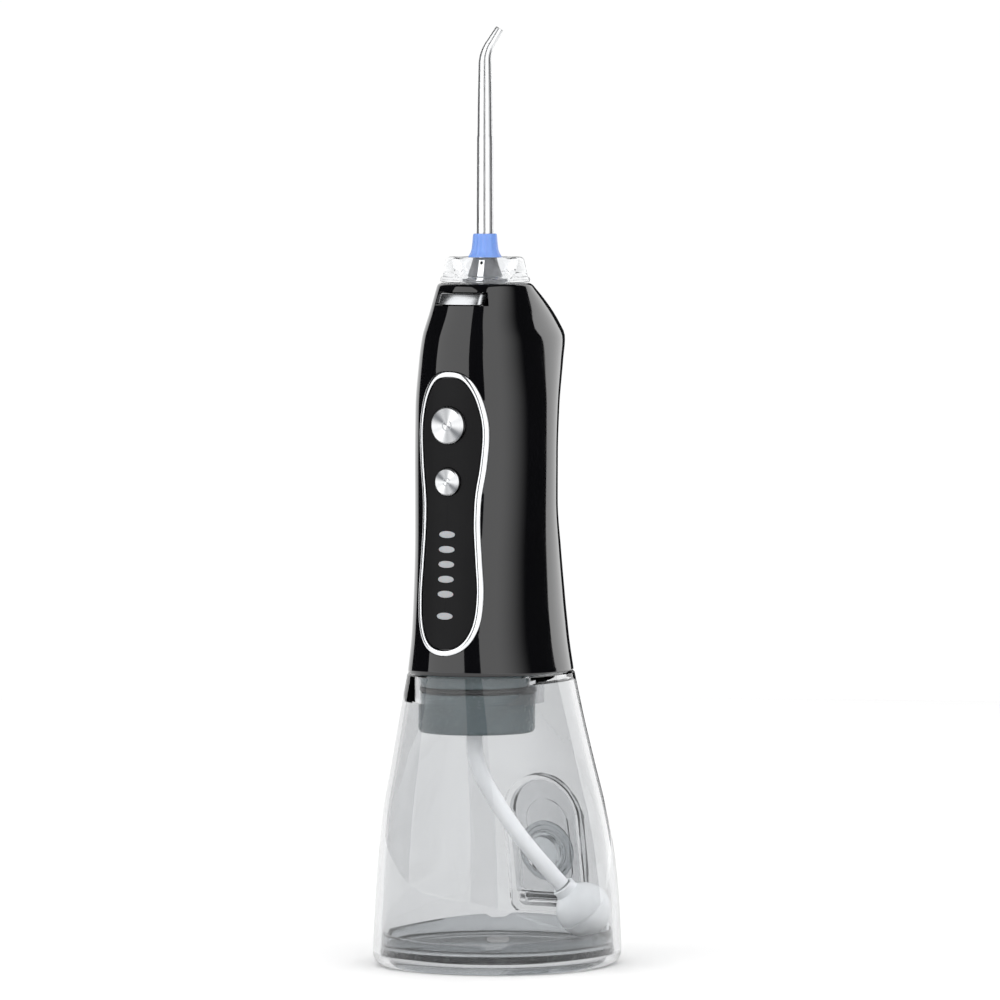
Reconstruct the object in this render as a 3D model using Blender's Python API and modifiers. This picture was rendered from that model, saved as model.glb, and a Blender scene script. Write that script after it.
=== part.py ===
"""Cordless water flosser: tank with fill door, pull-off handset, pump drive, dial and jet tip.

Millimetres throughout; MM turns them into metres where a mesh is made. Front is -Y, up is +Z,
and the origin is the middle of the tank's footprint, on the surface that it stands on.
"""
import math

import bmesh
import bpy
from mathutils import Matrix, Vector

MM = 0.001
GAP = 0.3                      # kept between pieces that touch

# ---- Overall sizes -------------------------------------------------------------------------
TANK_HEIGHT = 93.6
HANDLE_HEIGHT = 123.6
BASE_WIDTH = 77.6
BASE_DEPTH = 81.8
NOZZLE_Y = -7.7                # the nozzle, dial and receiver share this vertical axis

# ---- Tank ----------------------------------------------------------------------------------
TANK_WALL = 2.3
RIM_INSET = 3.5                # how far the foot is rounded in
RIM_HEIGHT = 4.7
FLOOR_BOTTOM = 4.0
FLOOR_THICK = 2.5
CUP_TOP = 12.8
CUP_WALL = 1.4
NECK_DEPTH = 9.0
NECK_WALL = 2.0
DOCK_Y = NOZZLE_Y - 5.3

# ---- Fill door -----------------------------------------------------------------------------
DOOR_WIDTH = 23.9
DOOR_LOW = 20.3
DOOR_TOP = 57.2
DOOR_WALL = 1.8
DOOR_GAP = 0.5
HINGE_Z = 18.2
HINGE_RADIUS = 1.6
HINGE_PIN_RADIUS = 0.6
POCKET_DEPTH = 5.5             # from the hinge line inwards to the pocket's floor
POCKET_TILT = math.radians(10.5)
PLUG_Z = 34.1
PLUG_FLANGE_RADIUS = 10.0
PLUG_CORE_RADIUS = 6.5
PLUG_TIP_RADIUS = 5.5
PLUG_LENGTH = 3.0

# ---- Casing --------------------------------------------------------------------------------
CASING_WALL = 2.4
PANEL_THICK = 1.0
TRIM_WIDTH = 2.0
TRIM_PROUD = 0.2
POWER_RADIUS = 5.85
MODE_RADIUS = 4.35
BUTTON_PROUD = 1.0
BUTTON_TRAVEL = 0.6
LIGHT_LENGTH = 5.7
LIGHT_HEIGHT = 2.2
LIGHT_PITCH = 4.7
LIGHT_COUNT = 5

# ---- Dock ----------------------------------------------------------------------------------
DOCK_RADIUS = 18.35
MOUTH_RADIUS = DOCK_RADIUS + 0.7
DOCK_DROP = 18.6               # how far the plug reaches down into the tank
DOCK_WALL = 2.0
DOCK_FLOOR = 3.8
HOSE_RECESS = 2.1              # how deep the hose's socket goes into the dock's floor
DOCK_FLANGE = 3.0
SEAL_RADIUS = 0.75
SEAL_CENTRE = DOCK_RADIUS - 0.4
DOCK_HOLLOW = DOCK_RADIUS - DOCK_WALL - 1.4        # radius inside the plug, clear of the seal's groove
BARB_RADIUS = 1.9
BARB_CLEAR = 0.85              # between the bent barb and the inside of the plug
HOSE_DIAMETER = 5.1

# ---- Drive ---------------------------------------------------------------------------------
MOTOR_Y = NOZZLE_Y - 8.05
MOTOR_RADIUS = 10.05
MOTOR_FLAT = 15.1              # across the motor's two flats
MOTOR_LENGTH = 28.0
SHAFT_RADIUS = 0.9
MODULE = 0.6
PINION_TEETH = 8
GEAR_TEETH = 30
GEAR_RADIUS = 10.4
GEAR_DISC = 2.2
TOOTH_DEPTH = 1.0
TOOTH_LENGTH = 2.6             # along the gear's radius
TOOTH_WIDTH = 0.55
PINION_LENGTH = 4.4
THROW = 2.5                    # crank radius, half the piston's stroke
CRANK_PIN_RADIUS = 1.2
AXLE_RADIUS = 1.5
SLOT_CLEAR = 0.6               # room above and below the crank pin in the yoke
YOKE_BAR = 1.6
YOKE_DEPTH = 3.8
ROD_RADIUS = 1.5
CHASSIS_Y = NOZZLE_Y + 0.5     # middle of the chassis plate
CHASSIS_THICK = 1.4

# ---- Pump ----------------------------------------------------------------------------------
BORE_RADIUS = 4.1
CYLINDER_RADIUS = 5.8
CYLINDER_LENGTH = 18.0
PISTON_LENGTH = 3.0
HEAD_HEIGHT = 7.7
TUBE_DIAMETER = 4.0
TUBE_CLEAR = 0.2               # round the suction tube where it passes the chassis
OUTLET_SHIFT = 3.0             # the head's outlet stands this far behind the cylinder's axis
OUTLET_DIAMETER = 3.0

# ---- Battery and electronics ---------------------------------------------------------------
BATTERY_RADIUS = 9.2
BATTERY_LENGTH = 65.0
BOARD_WIDTH = 19.0
BOARD_THICK = 1.5
BOARD_FRONT = NOZZLE_Y - 17.8
SWITCH_SIZE = 6.0
SWITCH_HEIGHT = 1.4
PORT_WIDTH = 13.0
PORT_HEIGHT = 8.0
FLAP_THICK = 1.2

# ---- Nozzle, dial and jet tip --------------------------------------------------------------
STEM_RADIUS = 3.0
RECEIVER_RADIUS = 6.2
LATCH_TRAVEL = 1.2
LATCH_THICK = 1.5
RELEASE_HEIGHT = 3.7
RELEASE_HALF_ANGLE = math.radians(33.0)
CROWN_HEIGHT = 7.9
CROWN_BASE_RADIUS = 14.3
CROWN_TOP_RADIUS = 12.4
CROWN_FLAT = 10.1              # from the axis to each finger flat
CROWN_FLATS = 3
CORE_BASE_RADIUS = 7.3
CORE_TOP_RADIUS = 4.35
CORE_HEIGHT = 7.2
COLLAR_HEIGHT = 7.4
TIP_HEIGHT = 81.4              # from the handle's top to the tip's

# ---- Hose weight ---------------------------------------------------------------------------
WEIGHT_RADIUS = 8.7
WEIGHT_CENTRE = Vector((0.299 * BASE_WIDTH, 0.181 * BASE_DEPTH, 17.2))
WEIGHT_WAY = Vector((-0.4545, -0.4917, 0.7421))    # from the weight's centre up the hose
WEIGHT_COLLAR = 3.7

FRONT_POWER = 2.1              # superellipse exponent of every front half
SIDES = 36

HANDLE_BOTTOM = TANK_HEIGHT + GAP
HANDLE_TOP = HANDLE_BOTTOM + HANDLE_HEIGHT


def up_handle(share):
    """A height above the tank's foot, from a share of the handle's height."""
    return HANDLE_BOTTOM + share * HANDLE_HEIGHT


# Pieces that show on the handle stand at shares of its height; the drive stands on the dock, and
# the receiver and latch hang from the handle's top.
POWER_Z = up_handle(0.640)
MODE_Z = up_handle(0.496)
LIGHT_TOP_Z = up_handle(0.3617)
CHARGE_Z = up_handle(0.1537)
PANEL_FROM = up_handle(0.025)
PANEL_TO = up_handle(0.818)
PORT_Z = HANDLE_BOTTOM + 11.6
MOTOR_LOW = HANDLE_BOTTOM + 10.1
PINION_LOW = MOTOR_LOW + MOTOR_LENGTH + 2.6
CYLINDER_LOW = PINION_LOW + 25.4
BATTERY_LOW = HANDLE_BOTTOM + 7.3
RECEIVER_LOW = HANDLE_TOP - 26.0
RECEIVER_TOP = HANDLE_TOP - 7.5
LATCH_Z = HANDLE_TOP - 4.8
TIP_TOP = HANDLE_TOP + TIP_HEIGHT

# Sections of the tank: share of its height, half width, front, back and widest line, the last
# four as shares of the base's half width or half depth; then the back's exponent.
TANK_SECTIONS = [
    (0.00, 1.000, -1.000, 0.985, 0.00, 2.15),
    (0.20, 0.965, -0.993, 1.000, -0.02, 2.20),
    (0.37, 0.925, -0.976, 0.955, -0.05, 2.28),
    (0.53, 0.870, -0.951, 0.852, -0.08, 2.35),
    (0.69, 0.785, -0.915, 0.742, -0.10, 2.42),
    (0.86, 0.695, -0.873, 0.655, -0.13, 2.46),
    (1.00, 0.618, -0.843, 0.612, -0.15, 2.50),
]
# Sections of the handle, the same way, with the first one equal to the tank's last.
HANDLE_SECTIONS = [
    (0.000, 0.612, -0.842, 0.610, -0.150, 2.50),
    (0.100, 0.565, -0.824, 0.592, -0.175, 2.50),
    (0.190, 0.549, -0.806, 0.548, -0.188, 2.52),
    (0.310, 0.542, -0.785, 0.470, -0.188, 2.53),
    (0.440, 0.548, -0.766, 0.372, -0.188, 2.55),
    (0.560, 0.553, -0.757, 0.362, -0.188, 2.56),
    (0.680, 0.549, -0.753, 0.403, -0.188, 2.58),
    (0.800, 0.515, -0.738, 0.555, -0.188, 2.60),
    (0.864, 0.489, -0.709, 0.633, -0.188, 2.60),
    (0.895, 0.461, -0.682, 0.580, -0.188, 2.55),
    (0.925, 0.433, -0.648, 0.506, -0.188, 2.45),
    (0.961, 0.407, -0.604, 0.374, -0.188, 2.25),
    (1.000, 0.381, -0.550, 0.174, -0.188, 2.00),
]
# Right half of the control panel's outline, top to bottom: half width and share of the height.
PANEL_SIDE = [(4.6, 0.7532), (8.0, 0.7176), (10.1, 0.6642), (10.7, 0.6117), (10.0, 0.5348),
              (8.7, 0.4579), (8.5, 0.3811), (9.2, 0.2921), (9.85, 0.2071), (8.9, 0.1303),
              (5.6, 0.0833)]
PANEL_APEX_TOP = 0.7613
PANEL_APEX_LOW = 0.0680
# The hose from the dock to the weight: shares of the way down, across to the right and back.
HOSE_BENDS = [(0.0, 0.0, 0.0), (0.1336, -0.005, 0.0293), (0.2834, 0.060, 0.1339),
              (0.4352, 0.2022, 0.2929), (0.5870, 0.3770, 0.4561), (0.7368, 0.5792, 0.6402)]
HOSE_LAST = 8.3                # the last stretch, in line with the weight's collar
# The suction tube from the dock's barb up the right side to the pump head: X, Y from the nozzle's
# axis and Z from the handle's bottom. It starts inside the dock's plug.
INLET_ROUTE = [(DOCK_HOLLOW - BARB_RADIUS - BARB_CLEAR, -2.7, 7.5), (13.4, -1.2, 12.1), (14.2, 0.9, 22.1), (14.0, 1.1, 46.1),
               (13.9, 0.3, 66.1), (13.6, -3.7, 78.1), (13.5, -7.3, 85.1)]

MATERIALS = {
    # name: (red, green, blue), roughness, metallic
    "black_gloss": ((0.010, 0.010, 0.011), 0.10, 0.0),
    "black_matte": ((0.012, 0.012, 0.013), 0.55, 0.0),
    "clear_plastic": ((0.80, 0.84, 0.85), 0.05, 0.0),
    "slate_plastic": ((0.115, 0.145, 0.155), 0.30, 0.0),
    "grey_plastic": ((0.130, 0.130, 0.130), 0.40, 0.0),
    "white_plastic": ((0.75, 0.76, 0.77), 0.40, 0.0),
    "blue_plastic": ((0.27, 0.46, 0.90), 0.35, 0.0),
    "frosted_silicone": ((0.72, 0.73, 0.75), 0.35, 0.0),
    "seal_rubber": ((0.030, 0.030, 0.032), 0.60, 0.0),
    "polished_steel": ((0.62, 0.62, 0.63), 0.12, 1.0),
    "spun_metal": ((0.55, 0.56, 0.58), 0.30, 1.0),
    "circuit_green": ((0.012, 0.110, 0.045), 0.45, 0.0),
    "cell_wrap": ((0.020, 0.180, 0.420), 0.40, 0.0),
    "brass": ((0.60, 0.43, 0.16), 0.25, 1.0),
}


# ---- Helpers -------------------------------------------------------------------------------
def clear_scene():
    for obj in list(bpy.data.objects):
        bpy.data.objects.remove(obj, do_unlink=True)


def new_collection(name):
    collection = bpy.data.collections.new(name)
    bpy.context.scene.collection.children.link(collection)
    return collection


clear_scene()
PARTS = new_collection("water_flosser")
CUTTERS = new_collection("cutters")
CUTTERS.hide_render = True


def paint(obj, kind):
    colour, roughness, metallic = MATERIALS[kind]
    material = bpy.data.materials.new(obj.name + "_" + kind)
    material.use_nodes = True
    shader = material.node_tree.nodes["Principled BSDF"]
    shader.inputs["Base Color"].default_value = (*colour, 1.0)
    shader.inputs["Roughness"].default_value = roughness
    shader.inputs["Metallic"].default_value = metallic
    obj.data.materials.clear()
    obj.data.materials.append(material)


def place(name, data, kind):
    """Links data as a finished part, or as a cutter when kind is None."""
    obj = bpy.data.objects.new(name, data)
    if kind is None:
        CUTTERS.objects.link(obj)
        obj.hide_render = True
        obj.display_type = "WIRE"
    else:
        PARTS.objects.link(obj)
        paint(obj, kind)
    return obj


def finish_mesh(name, bm, kind):
    bmesh.ops.remove_doubles(bm, verts=bm.verts, dist=0.000001)
    bmesh.ops.recalc_face_normals(bm, faces=bm.faces)
    mesh = bpy.data.meshes.new(name)
    bm.to_mesh(mesh)
    bm.free()
    mesh.shade_smooth()
    mesh.set_sharp_from_angle(angle=math.radians(35.0))
    return place(name, mesh, kind)


def set_origin(obj, x, y, z):
    """Moves the object's origin to its joint axis and leaves its shape where it is."""
    point = Vector((x, y, z)) * MM
    obj.data.transform(Matrix.Translation(-point))
    obj.location = point


def axis_matrix(axis):
    """Turns +Z into the given axis."""
    return Vector((0, 0, 1)).rotation_difference(Vector(axis)).to_matrix().to_4x4()


def cone(name, kind, start, end, radius_start, radius_end, segments=24):
    start = Vector(start) * MM
    end = Vector(end) * MM
    bm = bmesh.new()
    turn = Matrix.Translation((start + end) / 2) @ axis_matrix(end - start)
    bmesh.ops.create_cone(bm, cap_ends=True, segments=segments, radius1=radius_start * MM,
                          radius2=radius_end * MM, depth=(end - start).length, matrix=turn)
    return finish_mesh(name, bm, kind)


def cylinder(name, kind, start, end, radius, segments=24):
    return cone(name, kind, start, end, radius, radius, segments)


def box(name, kind, low, high):
    low = Vector(low) * MM
    high = Vector(high) * MM
    bm = bmesh.new()
    size = high - low
    bmesh.ops.create_cube(bm, size=1.0, matrix=Matrix.Translation((low + high) / 2)
                          @ Matrix.Diagonal((*size, 1.0)))
    return finish_mesh(name, bm, kind)


def sphere(name, kind, centre, radius, segments=24):
    bm = bmesh.new()
    bmesh.ops.create_uvsphere(bm, u_segments=segments, v_segments=segments // 2,
                              radius=radius * MM, matrix=Matrix.Translation(Vector(centre) * MM))
    return finish_mesh(name, bm, kind)


def turned(name, kind, profile, segments=32, x=0.0, y=NOZZLE_Y, closed=True):
    """Turns a profile of (radius, height), outer side first and downwards, about a vertical axis."""
    mesh = bpy.data.meshes.new(name)
    verts = [(radius * MM, 0.0, height * MM) for radius, height in profile]
    edges = [(i, i + 1) for i in range(len(verts) - 1)]
    if closed:
        edges.append((len(verts) - 1, 0))
    mesh.from_pydata(verts, edges, [])
    obj = place(name, mesh, kind)
    obj.location = (x * MM, y * MM, 0.0)
    screw = obj.modifiers.new("turn", "SCREW")
    screw.steps = segments
    screw.render_steps = segments
    screw.use_merge_vertices = True
    screw.merge_threshold = 0.00001
    screw.use_smooth_shade = True
    return obj


def mesh_from_curve(obj, kind):
    """Replaces a curve object with a welded mesh object, so that it can be cut."""
    depsgraph = bpy.context.evaluated_depsgraph_get()
    mesh = bpy.data.meshes.new_from_object(obj.evaluated_get(depsgraph))
    matrix = obj.matrix_world.copy()
    name = obj.name
    bpy.data.objects.remove(obj, do_unlink=True)
    mesh.transform(matrix)
    bm = bmesh.new()
    bm.from_mesh(mesh)
    bpy.data.meshes.remove(mesh)
    bmesh.ops.remove_doubles(bm, verts=bm.verts, dist=0.00001)
    return finish_mesh(name, bm, kind)


def outline_curve(name, points):
    curve = bpy.data.curves.new(name, "CURVE")
    curve.dimensions = "2D"
    curve.fill_mode = "BOTH"
    spline = curve.splines.new("POLY")
    spline.points.add(len(points) - 1)
    for point, (across, up) in zip(spline.points, points):
        point.co = (across * MM, up * MM, 0.0, 1.0)
    spline.use_cyclic_u = True
    return curve


def prism_y(name, kind, points, low, high):
    """A prism along Y from an outline of (x, z)."""
    curve = outline_curve(name, points)
    curve.extrude = (high - low) / 2 * MM
    obj = bpy.data.objects.new(name, curve)
    CUTTERS.objects.link(obj)
    obj.rotation_euler = (math.pi / 2, 0.0, 0.0)
    obj.location = (0.0, (low + high) / 2 * MM, 0.0)
    bpy.context.view_layer.update()
    return mesh_from_curve(obj, kind)


def prism_z(name, kind, points, low, high):
    """A prism along Z from an outline of (x, y)."""
    curve = outline_curve(name, points)
    curve.extrude = (high - low) / 2 * MM
    obj = bpy.data.objects.new(name, curve)
    CUTTERS.objects.link(obj)
    obj.location = (0.0, 0.0, (low + high) / 2 * MM)
    bpy.context.view_layer.update()
    return mesh_from_curve(obj, kind)


def tube(name, kind, points, diameter, rounding=2):
    curve = bpy.data.curves.new(name, "CURVE")
    curve.dimensions = "3D"
    curve.bevel_depth = diameter / 2 * MM
    curve.bevel_resolution = rounding
    curve.use_fill_caps = True
    spline = curve.splines.new("POLY")
    spline.points.add(len(points) - 1)
    for point, place_at in zip(spline.points, points):
        point.co = (*(Vector(place_at) * MM), 1.0)
    return place(name, curve, kind)


def boolean(target, tool, operation):
    modifier = target.modifiers.new(operation.lower(), "BOOLEAN")
    modifier.operation = operation
    modifier.object = tool


def cut(target, *tools):
    for tool in tools:
        boolean(target, tool, "DIFFERENCE")


def join(target, *tools):
    for tool in tools:
        boolean(target, tool, "UNION")


def keep(target, tool):
    boolean(target, tool, "INTERSECT")


def bevel(obj, width, segments=2):
    modifier = obj.modifiers.new("bevel", "BEVEL")
    modifier.width = width * MM
    modifier.segments = segments
    modifier.limit_method = "ANGLE"
    modifier.angle_limit = math.radians(40.0)


def smooth_points(points, per_span):
    """Points along a smooth curve through the given ones (Catmull-Rom)."""
    points = [Vector(p) for p in points]
    padded = [2 * points[0] - points[1]] + points + [2 * points[-1] - points[-2]]
    result = []
    for a, b, c, d in zip(padded, padded[1:], padded[2:], padded[3:]):
        for step in range(per_span):
            t = step / per_span
            result.append(0.5 * (2 * b + (c - a) * t + (2 * a - 5 * b + 4 * c - d) * t ** 2
                                 + (3 * b - 3 * c + d - a) * t ** 3))
    result.append(points[-1])
    return result


# ---- The body's outer form -----------------------------------------------------------------
def section_at(sections, share):
    """Interpolates a section smoothly, never beyond its neighbours' values."""
    last = len(sections) - 2
    index = next((i for i in range(last) if share < sections[i + 1][0]), last)
    low, high = sections[index], sections[index + 1]
    before = sections[max(index - 1, 0)]
    after = sections[min(index + 2, len(sections) - 1)]
    span = high[0] - low[0]
    t = (share - low[0]) / span
    values = []
    for column in range(1, len(low)):
        rise = high[column] - low[column]
        start = limited_slope(before, low, high, column) * span
        end = limited_slope(low, high, after, column) * span
        value = (low[column] + start * t + (3 * rise - 2 * start - end) * t ** 2
                 + (start + end - 2 * rise) * t ** 3)
        values.append(value)
    return values


def limited_slope(left, middle, right, column):
    if left is middle or middle is right:
        return (right[column] - left[column]) / (right[0] - left[0])
    slope_left = (middle[column] - left[column]) / (middle[0] - left[0])
    slope_right = (right[column] - middle[column]) / (right[0] - middle[0])
    if slope_left * slope_right <= 0:
        return 0.0
    return 2 * slope_left * slope_right / (slope_left + slope_right)


def ring(half_width, front, back, middle, back_power, inset, z):
    points = []
    for index in range(SIDES):
        angle = 2 * math.pi * index / SIDES
        across, along = math.cos(angle), math.sin(angle)
        power = FRONT_POWER if along < 0 else back_power
        reach = (middle - front if along < 0 else back - middle) - inset
        x = (half_width - inset) * math.copysign(abs(across) ** (2 / power), across)
        y = middle + reach * math.copysign(abs(along) ** (2 / power), along)
        points.append(Vector((x, y, z)))
    return points


def body_ring(sections, bottom, height, z, inset):
    share = min(max((z - bottom) / height, 0.0), 1.0)
    half_width, front, back, middle, back_power = section_at(sections, share)
    wide, deep = BASE_WIDTH / 2, BASE_DEPTH / 2
    return ring(half_width * wide, front * deep, back * deep, middle * deep, back_power, inset, z)


def tank_ring(z, inset=0.0):
    return body_ring(TANK_SECTIONS, 0.0, TANK_HEIGHT, z, inset)


def handle_ring(z, inset=0.0):
    return body_ring(HANDLE_SECTIONS, HANDLE_BOTTOM, HANDLE_HEIGHT, z, inset)


def front_of(points):
    return min(point.y for point in points)


def back_of(points):
    return max(point.y for point in points)


def half_width_of(points):
    return max(point.x for point in points)


def circle(x, y, z, radius, count=40):
    turns = [2 * math.pi * (index + 0.5) / count for index in range(count)]
    return [Vector((x + radius * math.cos(a), y + radius * math.sin(a), z)) for a in turns]


def loft(name, kind, rings):
    bm = bmesh.new()
    loops = [[bm.verts.new(point * MM) for point in points] for points in rings]
    for lower, upper in zip(loops, loops[1:]):
        for i in range(len(lower)):
            j = (i + 1) % len(lower)
            bm.faces.new((lower[i], lower[j], upper[j], upper[i]))
    bm.faces.new(list(reversed(loops[0])))
    bm.faces.new(loops[-1])
    return finish_mesh(name, bm, kind)


def handle_heights(low, high, step=11.0, top_step=4.6):
    """Heights for a handle loft, closer together round the shoulder."""
    heights = [low]
    shoulder = HANDLE_BOTTOM + 0.78 * HANDLE_HEIGHT
    while heights[-1] < high - 0.1:
        stride = step if heights[-1] < shoulder else top_step
        heights.append(min(heights[-1] + stride, high))
    if heights[-1] - heights[-2] < 1.5:
        del heights[-2]
    return heights


def handle_solid(name, inset, low, high, step=11.0, top_step=4.6):
    """The handle's form, set in from the outside, between two heights."""
    rings = [handle_ring(z, inset) for z in handle_heights(low, high, step, top_step)]
    return loft(name, None, rings)


# ---- Panel outline -------------------------------------------------------------------------
def panel_outline(grow):
    """The panel's outline of (x, z), grown outwards by the given distance."""
    right = [(half_width, up_handle(share)) for half_width, share in PANEL_SIDE]
    left = [(-half_width, z) for half_width, z in reversed(right)]
    loop = [(0.0, up_handle(PANEL_APEX_TOP))] + right + [(0.0, up_handle(PANEL_APEX_LOW))] + left
    grown = []
    for index, (x, z) in enumerate(loop):
        before = loop[index - 1]
        after = loop[(index + 1) % len(loop)]
        tangent = Vector((after[0] - before[0], after[1] - before[1])).normalized()
        grown.append(Vector((x - tangent.y * grow, z + tangent.x * grow)))
    return [(p.x, p.y) for p in grown]


def oval(centre_z, length, height, steps=10):
    """A flat-sided oval of (x, z)."""
    radius = height / 2
    shift = length / 2 - radius
    points = []
    for side in (1, -1):
        for index in range(steps // 2 + 1):
            angle = side * math.pi / 2 - side * math.pi * index / (steps // 2)
            points.append((side * shift + side * radius * abs(math.cos(angle)),
                           centre_z + radius * math.sin(angle)))
    return points


# ---- Tank ----------------------------------------------------------------------------------
def pocket_frame():
    """The pocket floor's plane: a point on it under the hinge, its way up and its way out."""
    hinge_y = hinge_line_y()
    up = Vector((0.0, -math.sin(POCKET_TILT), math.cos(POCKET_TILT)))
    out = Vector((0.0, math.cos(POCKET_TILT), math.sin(POCKET_TILT)))
    foot = Vector((0.0, hinge_y, HINGE_Z)) - out * (POCKET_DEPTH - HINGE_RADIUS)
    return foot, up, out


def hinge_line_y():
    return back_of(tank_ring(HINGE_Z)) - HINGE_RADIUS + 0.4


def door_outline(grow, low):
    """Round-topped door outline of (x, z)."""
    radius = DOOR_WIDTH / 2 + grow
    centre = DOOR_TOP + grow - radius
    points = [(-radius, low), (radius, low)]
    for index in range(13):
        angle = math.pi * index / 12
        points.append((radius * math.cos(angle), centre + radius * math.sin(angle)))
    return points


def pocket_solid(name, grow, depth):
    """The pocket's prism, tilted with its floor; depth is how far its floor goes in."""
    tilt_room = 0.9
    low = HINGE_Z - HINGE_RADIUS - DOOR_GAP - tilt_room - grow
    obj = prism_y(name, None, door_outline(DOOR_GAP + grow, low), 0.0, 40.0)
    foot, up, out = pocket_frame()
    turn = Matrix.Rotation(POCKET_TILT, 4, "X")
    hinge = Vector((0.0, foot.y, HINGE_Z)) * MM
    shift = Matrix.Translation(Vector((0.0, foot.y - depth, 0.0)) * MM)
    obj.data.transform(Matrix.Translation(hinge) @ turn @ Matrix.Translation(-hinge) @ shift)
    return obj


def build_reservoir_shell():
    heights = [RIM_HEIGHT, 14, 24, 33, 42, 50, 58, 67, 76, 85, TANK_HEIGHT]
    rings = []
    for step in range(3):
        angle = math.pi / 2 * step / 3
        rings.append(tank_ring(RIM_HEIGHT * (1 - math.cos(angle)), RIM_INSET * (1 - math.sin(angle))))
    rings += [tank_ring(z) for z in heights]
    shell = loft("reservoir_shell", "clear_plastic", rings)

    ledge = FLOOR_BOTTOM - GAP
    roof = TANK_HEIGHT - TANK_WALL
    inner = [tank_ring(-1.0, RIM_INSET + 1.8), tank_ring(ledge - 0.1, RIM_INSET + 1.8)]
    inner += [tank_ring(ledge, TANK_WALL)]
    inner += [tank_ring(z, TANK_WALL) for z in [14, 24, 34, 44, 54, 64, 76, roof]]
    cavity = loft("tank_cavity", None, inner)
    cut(cavity, pocket_solid("pocket_wall", TANK_WALL - DOOR_GAP, TANK_WALL))
    neck = cylinder("neck_outer", None, (0, DOCK_Y, TANK_HEIGHT - NECK_DEPTH),
                    (0, DOCK_Y, TANK_HEIGHT + 2), MOUTH_RADIUS + NECK_WALL, 40)
    cut(cavity, neck)
    cut(shell, cavity)

    mouth = cylinder("tank_mouth", None, (0, DOCK_Y, TANK_HEIGHT - NECK_DEPTH - 1),
                     (0, DOCK_Y, TANK_HEIGHT + 1), MOUTH_RADIUS, 40)
    cut(shell, mouth)
    cut(shell, pocket_solid("pocket_space", 0.0, 0.0))

    foot, up, out = pocket_frame()
    centre = foot + up * plug_rise()
    hole = cylinder("plug_hole", None, centre - out * (TANK_WALL + 2), centre + out * 1.0,
                    PLUG_CORE_RADIUS + GAP, 32)
    cut(shell, hole)
    join_hinge_lugs(shell)
    return shell


def plug_rise():
    """How far up the pocket's floor the plug stands from the hinge's foot."""
    return (PLUG_Z - HINGE_Z) / math.cos(POCKET_TILT)


def join_hinge_lugs(shell):
    """Two lugs that hold the hinge pin, one at each side of the pocket."""
    y = hinge_line_y()
    edge = DOOR_WIDTH / 2 + DOOR_GAP
    lug = 3.0
    for side, label in ((-1, "left"), (1, "right")):
        block = box("lug_" + label, None,
                    (min(side * (edge + 0.6), side * (edge - lug)), y - HINGE_RADIUS - 2.6,
                     HINGE_Z - HINGE_RADIUS),
                    (max(side * (edge + 0.6), side * (edge - lug)), y + HINGE_RADIUS * 0.5,
                     HINGE_Z + HINGE_RADIUS))
        join(shell, block)
    bore = cylinder("pin_bore", None, (-edge - 0.2, y, HINGE_Z), (edge + 0.2, y, HINGE_Z),
                    HINGE_PIN_RADIUS + GAP, 16)
    cut(shell, bore)


def build_reservoir_base():
    inset = TANK_WALL + GAP
    rings = [tank_ring(FLOOR_BOTTOM, inset), tank_ring(CUP_TOP / 2, inset), tank_ring(CUP_TOP, inset)]
    base = loft("reservoir_base", "clear_plastic", rings)
    floor = FLOOR_BOTTOM + FLOOR_THICK
    inner = [tank_ring(z, inset + CUP_WALL) for z in (floor, CUP_TOP, CUP_TOP + 1)]
    cut(base, loft("cup_space", None, inner))
    notch = 2.4
    for side, label in ((-1, "left"), (1, "right")):
        x = side * 12.0
        front = front_of(tank_ring(CUP_TOP))
        cut(base, box("cup_notch_" + label, None, (x - notch / 2, front, CUP_TOP - 2.0),
                      (x + notch / 2, front + 12.0, CUP_TOP + 1.0)))
    return base


# ---- Fill door -----------------------------------------------------------------------------
def build_fill_door():
    door = prism_y("fill_door", "clear_plastic", door_outline(0.0, DOOR_LOW), 20.0, 60.0)
    outer = loft("door_outer", None, [tank_ring(z) for z in (4, 14, 24, 33, 42, 50, 58, 67)])
    inner = loft("door_inner", None,
                 [tank_ring(z, DOOR_WALL) for z in (3, 14, 24, 33, 42, 50, 58, 68)])
    keep(door, outer)
    cut(door, inner)

    y = hinge_line_y()
    half = DOOR_WIDTH / 2 - 3.0 - GAP
    barrel = cylinder("door_barrel", None, (-half, y, HINGE_Z), (half, y, HINGE_Z), HINGE_RADIUS, 16)
    web = box("door_web", None, (-half, y - HINGE_RADIUS * 0.8, HINGE_Z),
              (half, y + 0.6, DOOR_LOW + 1.2))
    join(door, web, barrel)
    foot, up, out = pocket_frame()
    centre = foot + up * plug_rise()
    post = cylinder("door_post", None, centre + out * (GAP + 1.9), centre + out * 7.0, 3.5, 24)
    keep(post, outer_copy("post_limit"))
    join(door, post)
    cut(door, cylinder("door_bore", None, (-half - 1, y, HINGE_Z), (half + 1, y, HINGE_Z),
                       HINGE_PIN_RADIUS + GAP, 16))
    set_origin(door, 0.0, y, HINGE_Z)
    return door


def outer_copy(name):
    """The tank's form a little inside the door's outer face."""
    return loft(name, None, [tank_ring(z, DOOR_WALL / 2) for z in (8, 20, 27, 34, 41, 48, 55, 70)])


def build_fill_hinge_pin():
    edge = DOOR_WIDTH / 2 + DOOR_GAP
    y = hinge_line_y()
    return cylinder("fill_hinge_pin", "polished_steel", (-edge + 0.1, y, HINGE_Z),
                    (edge - 0.1, y, HINGE_Z), HINGE_PIN_RADIUS, 12)


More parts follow.
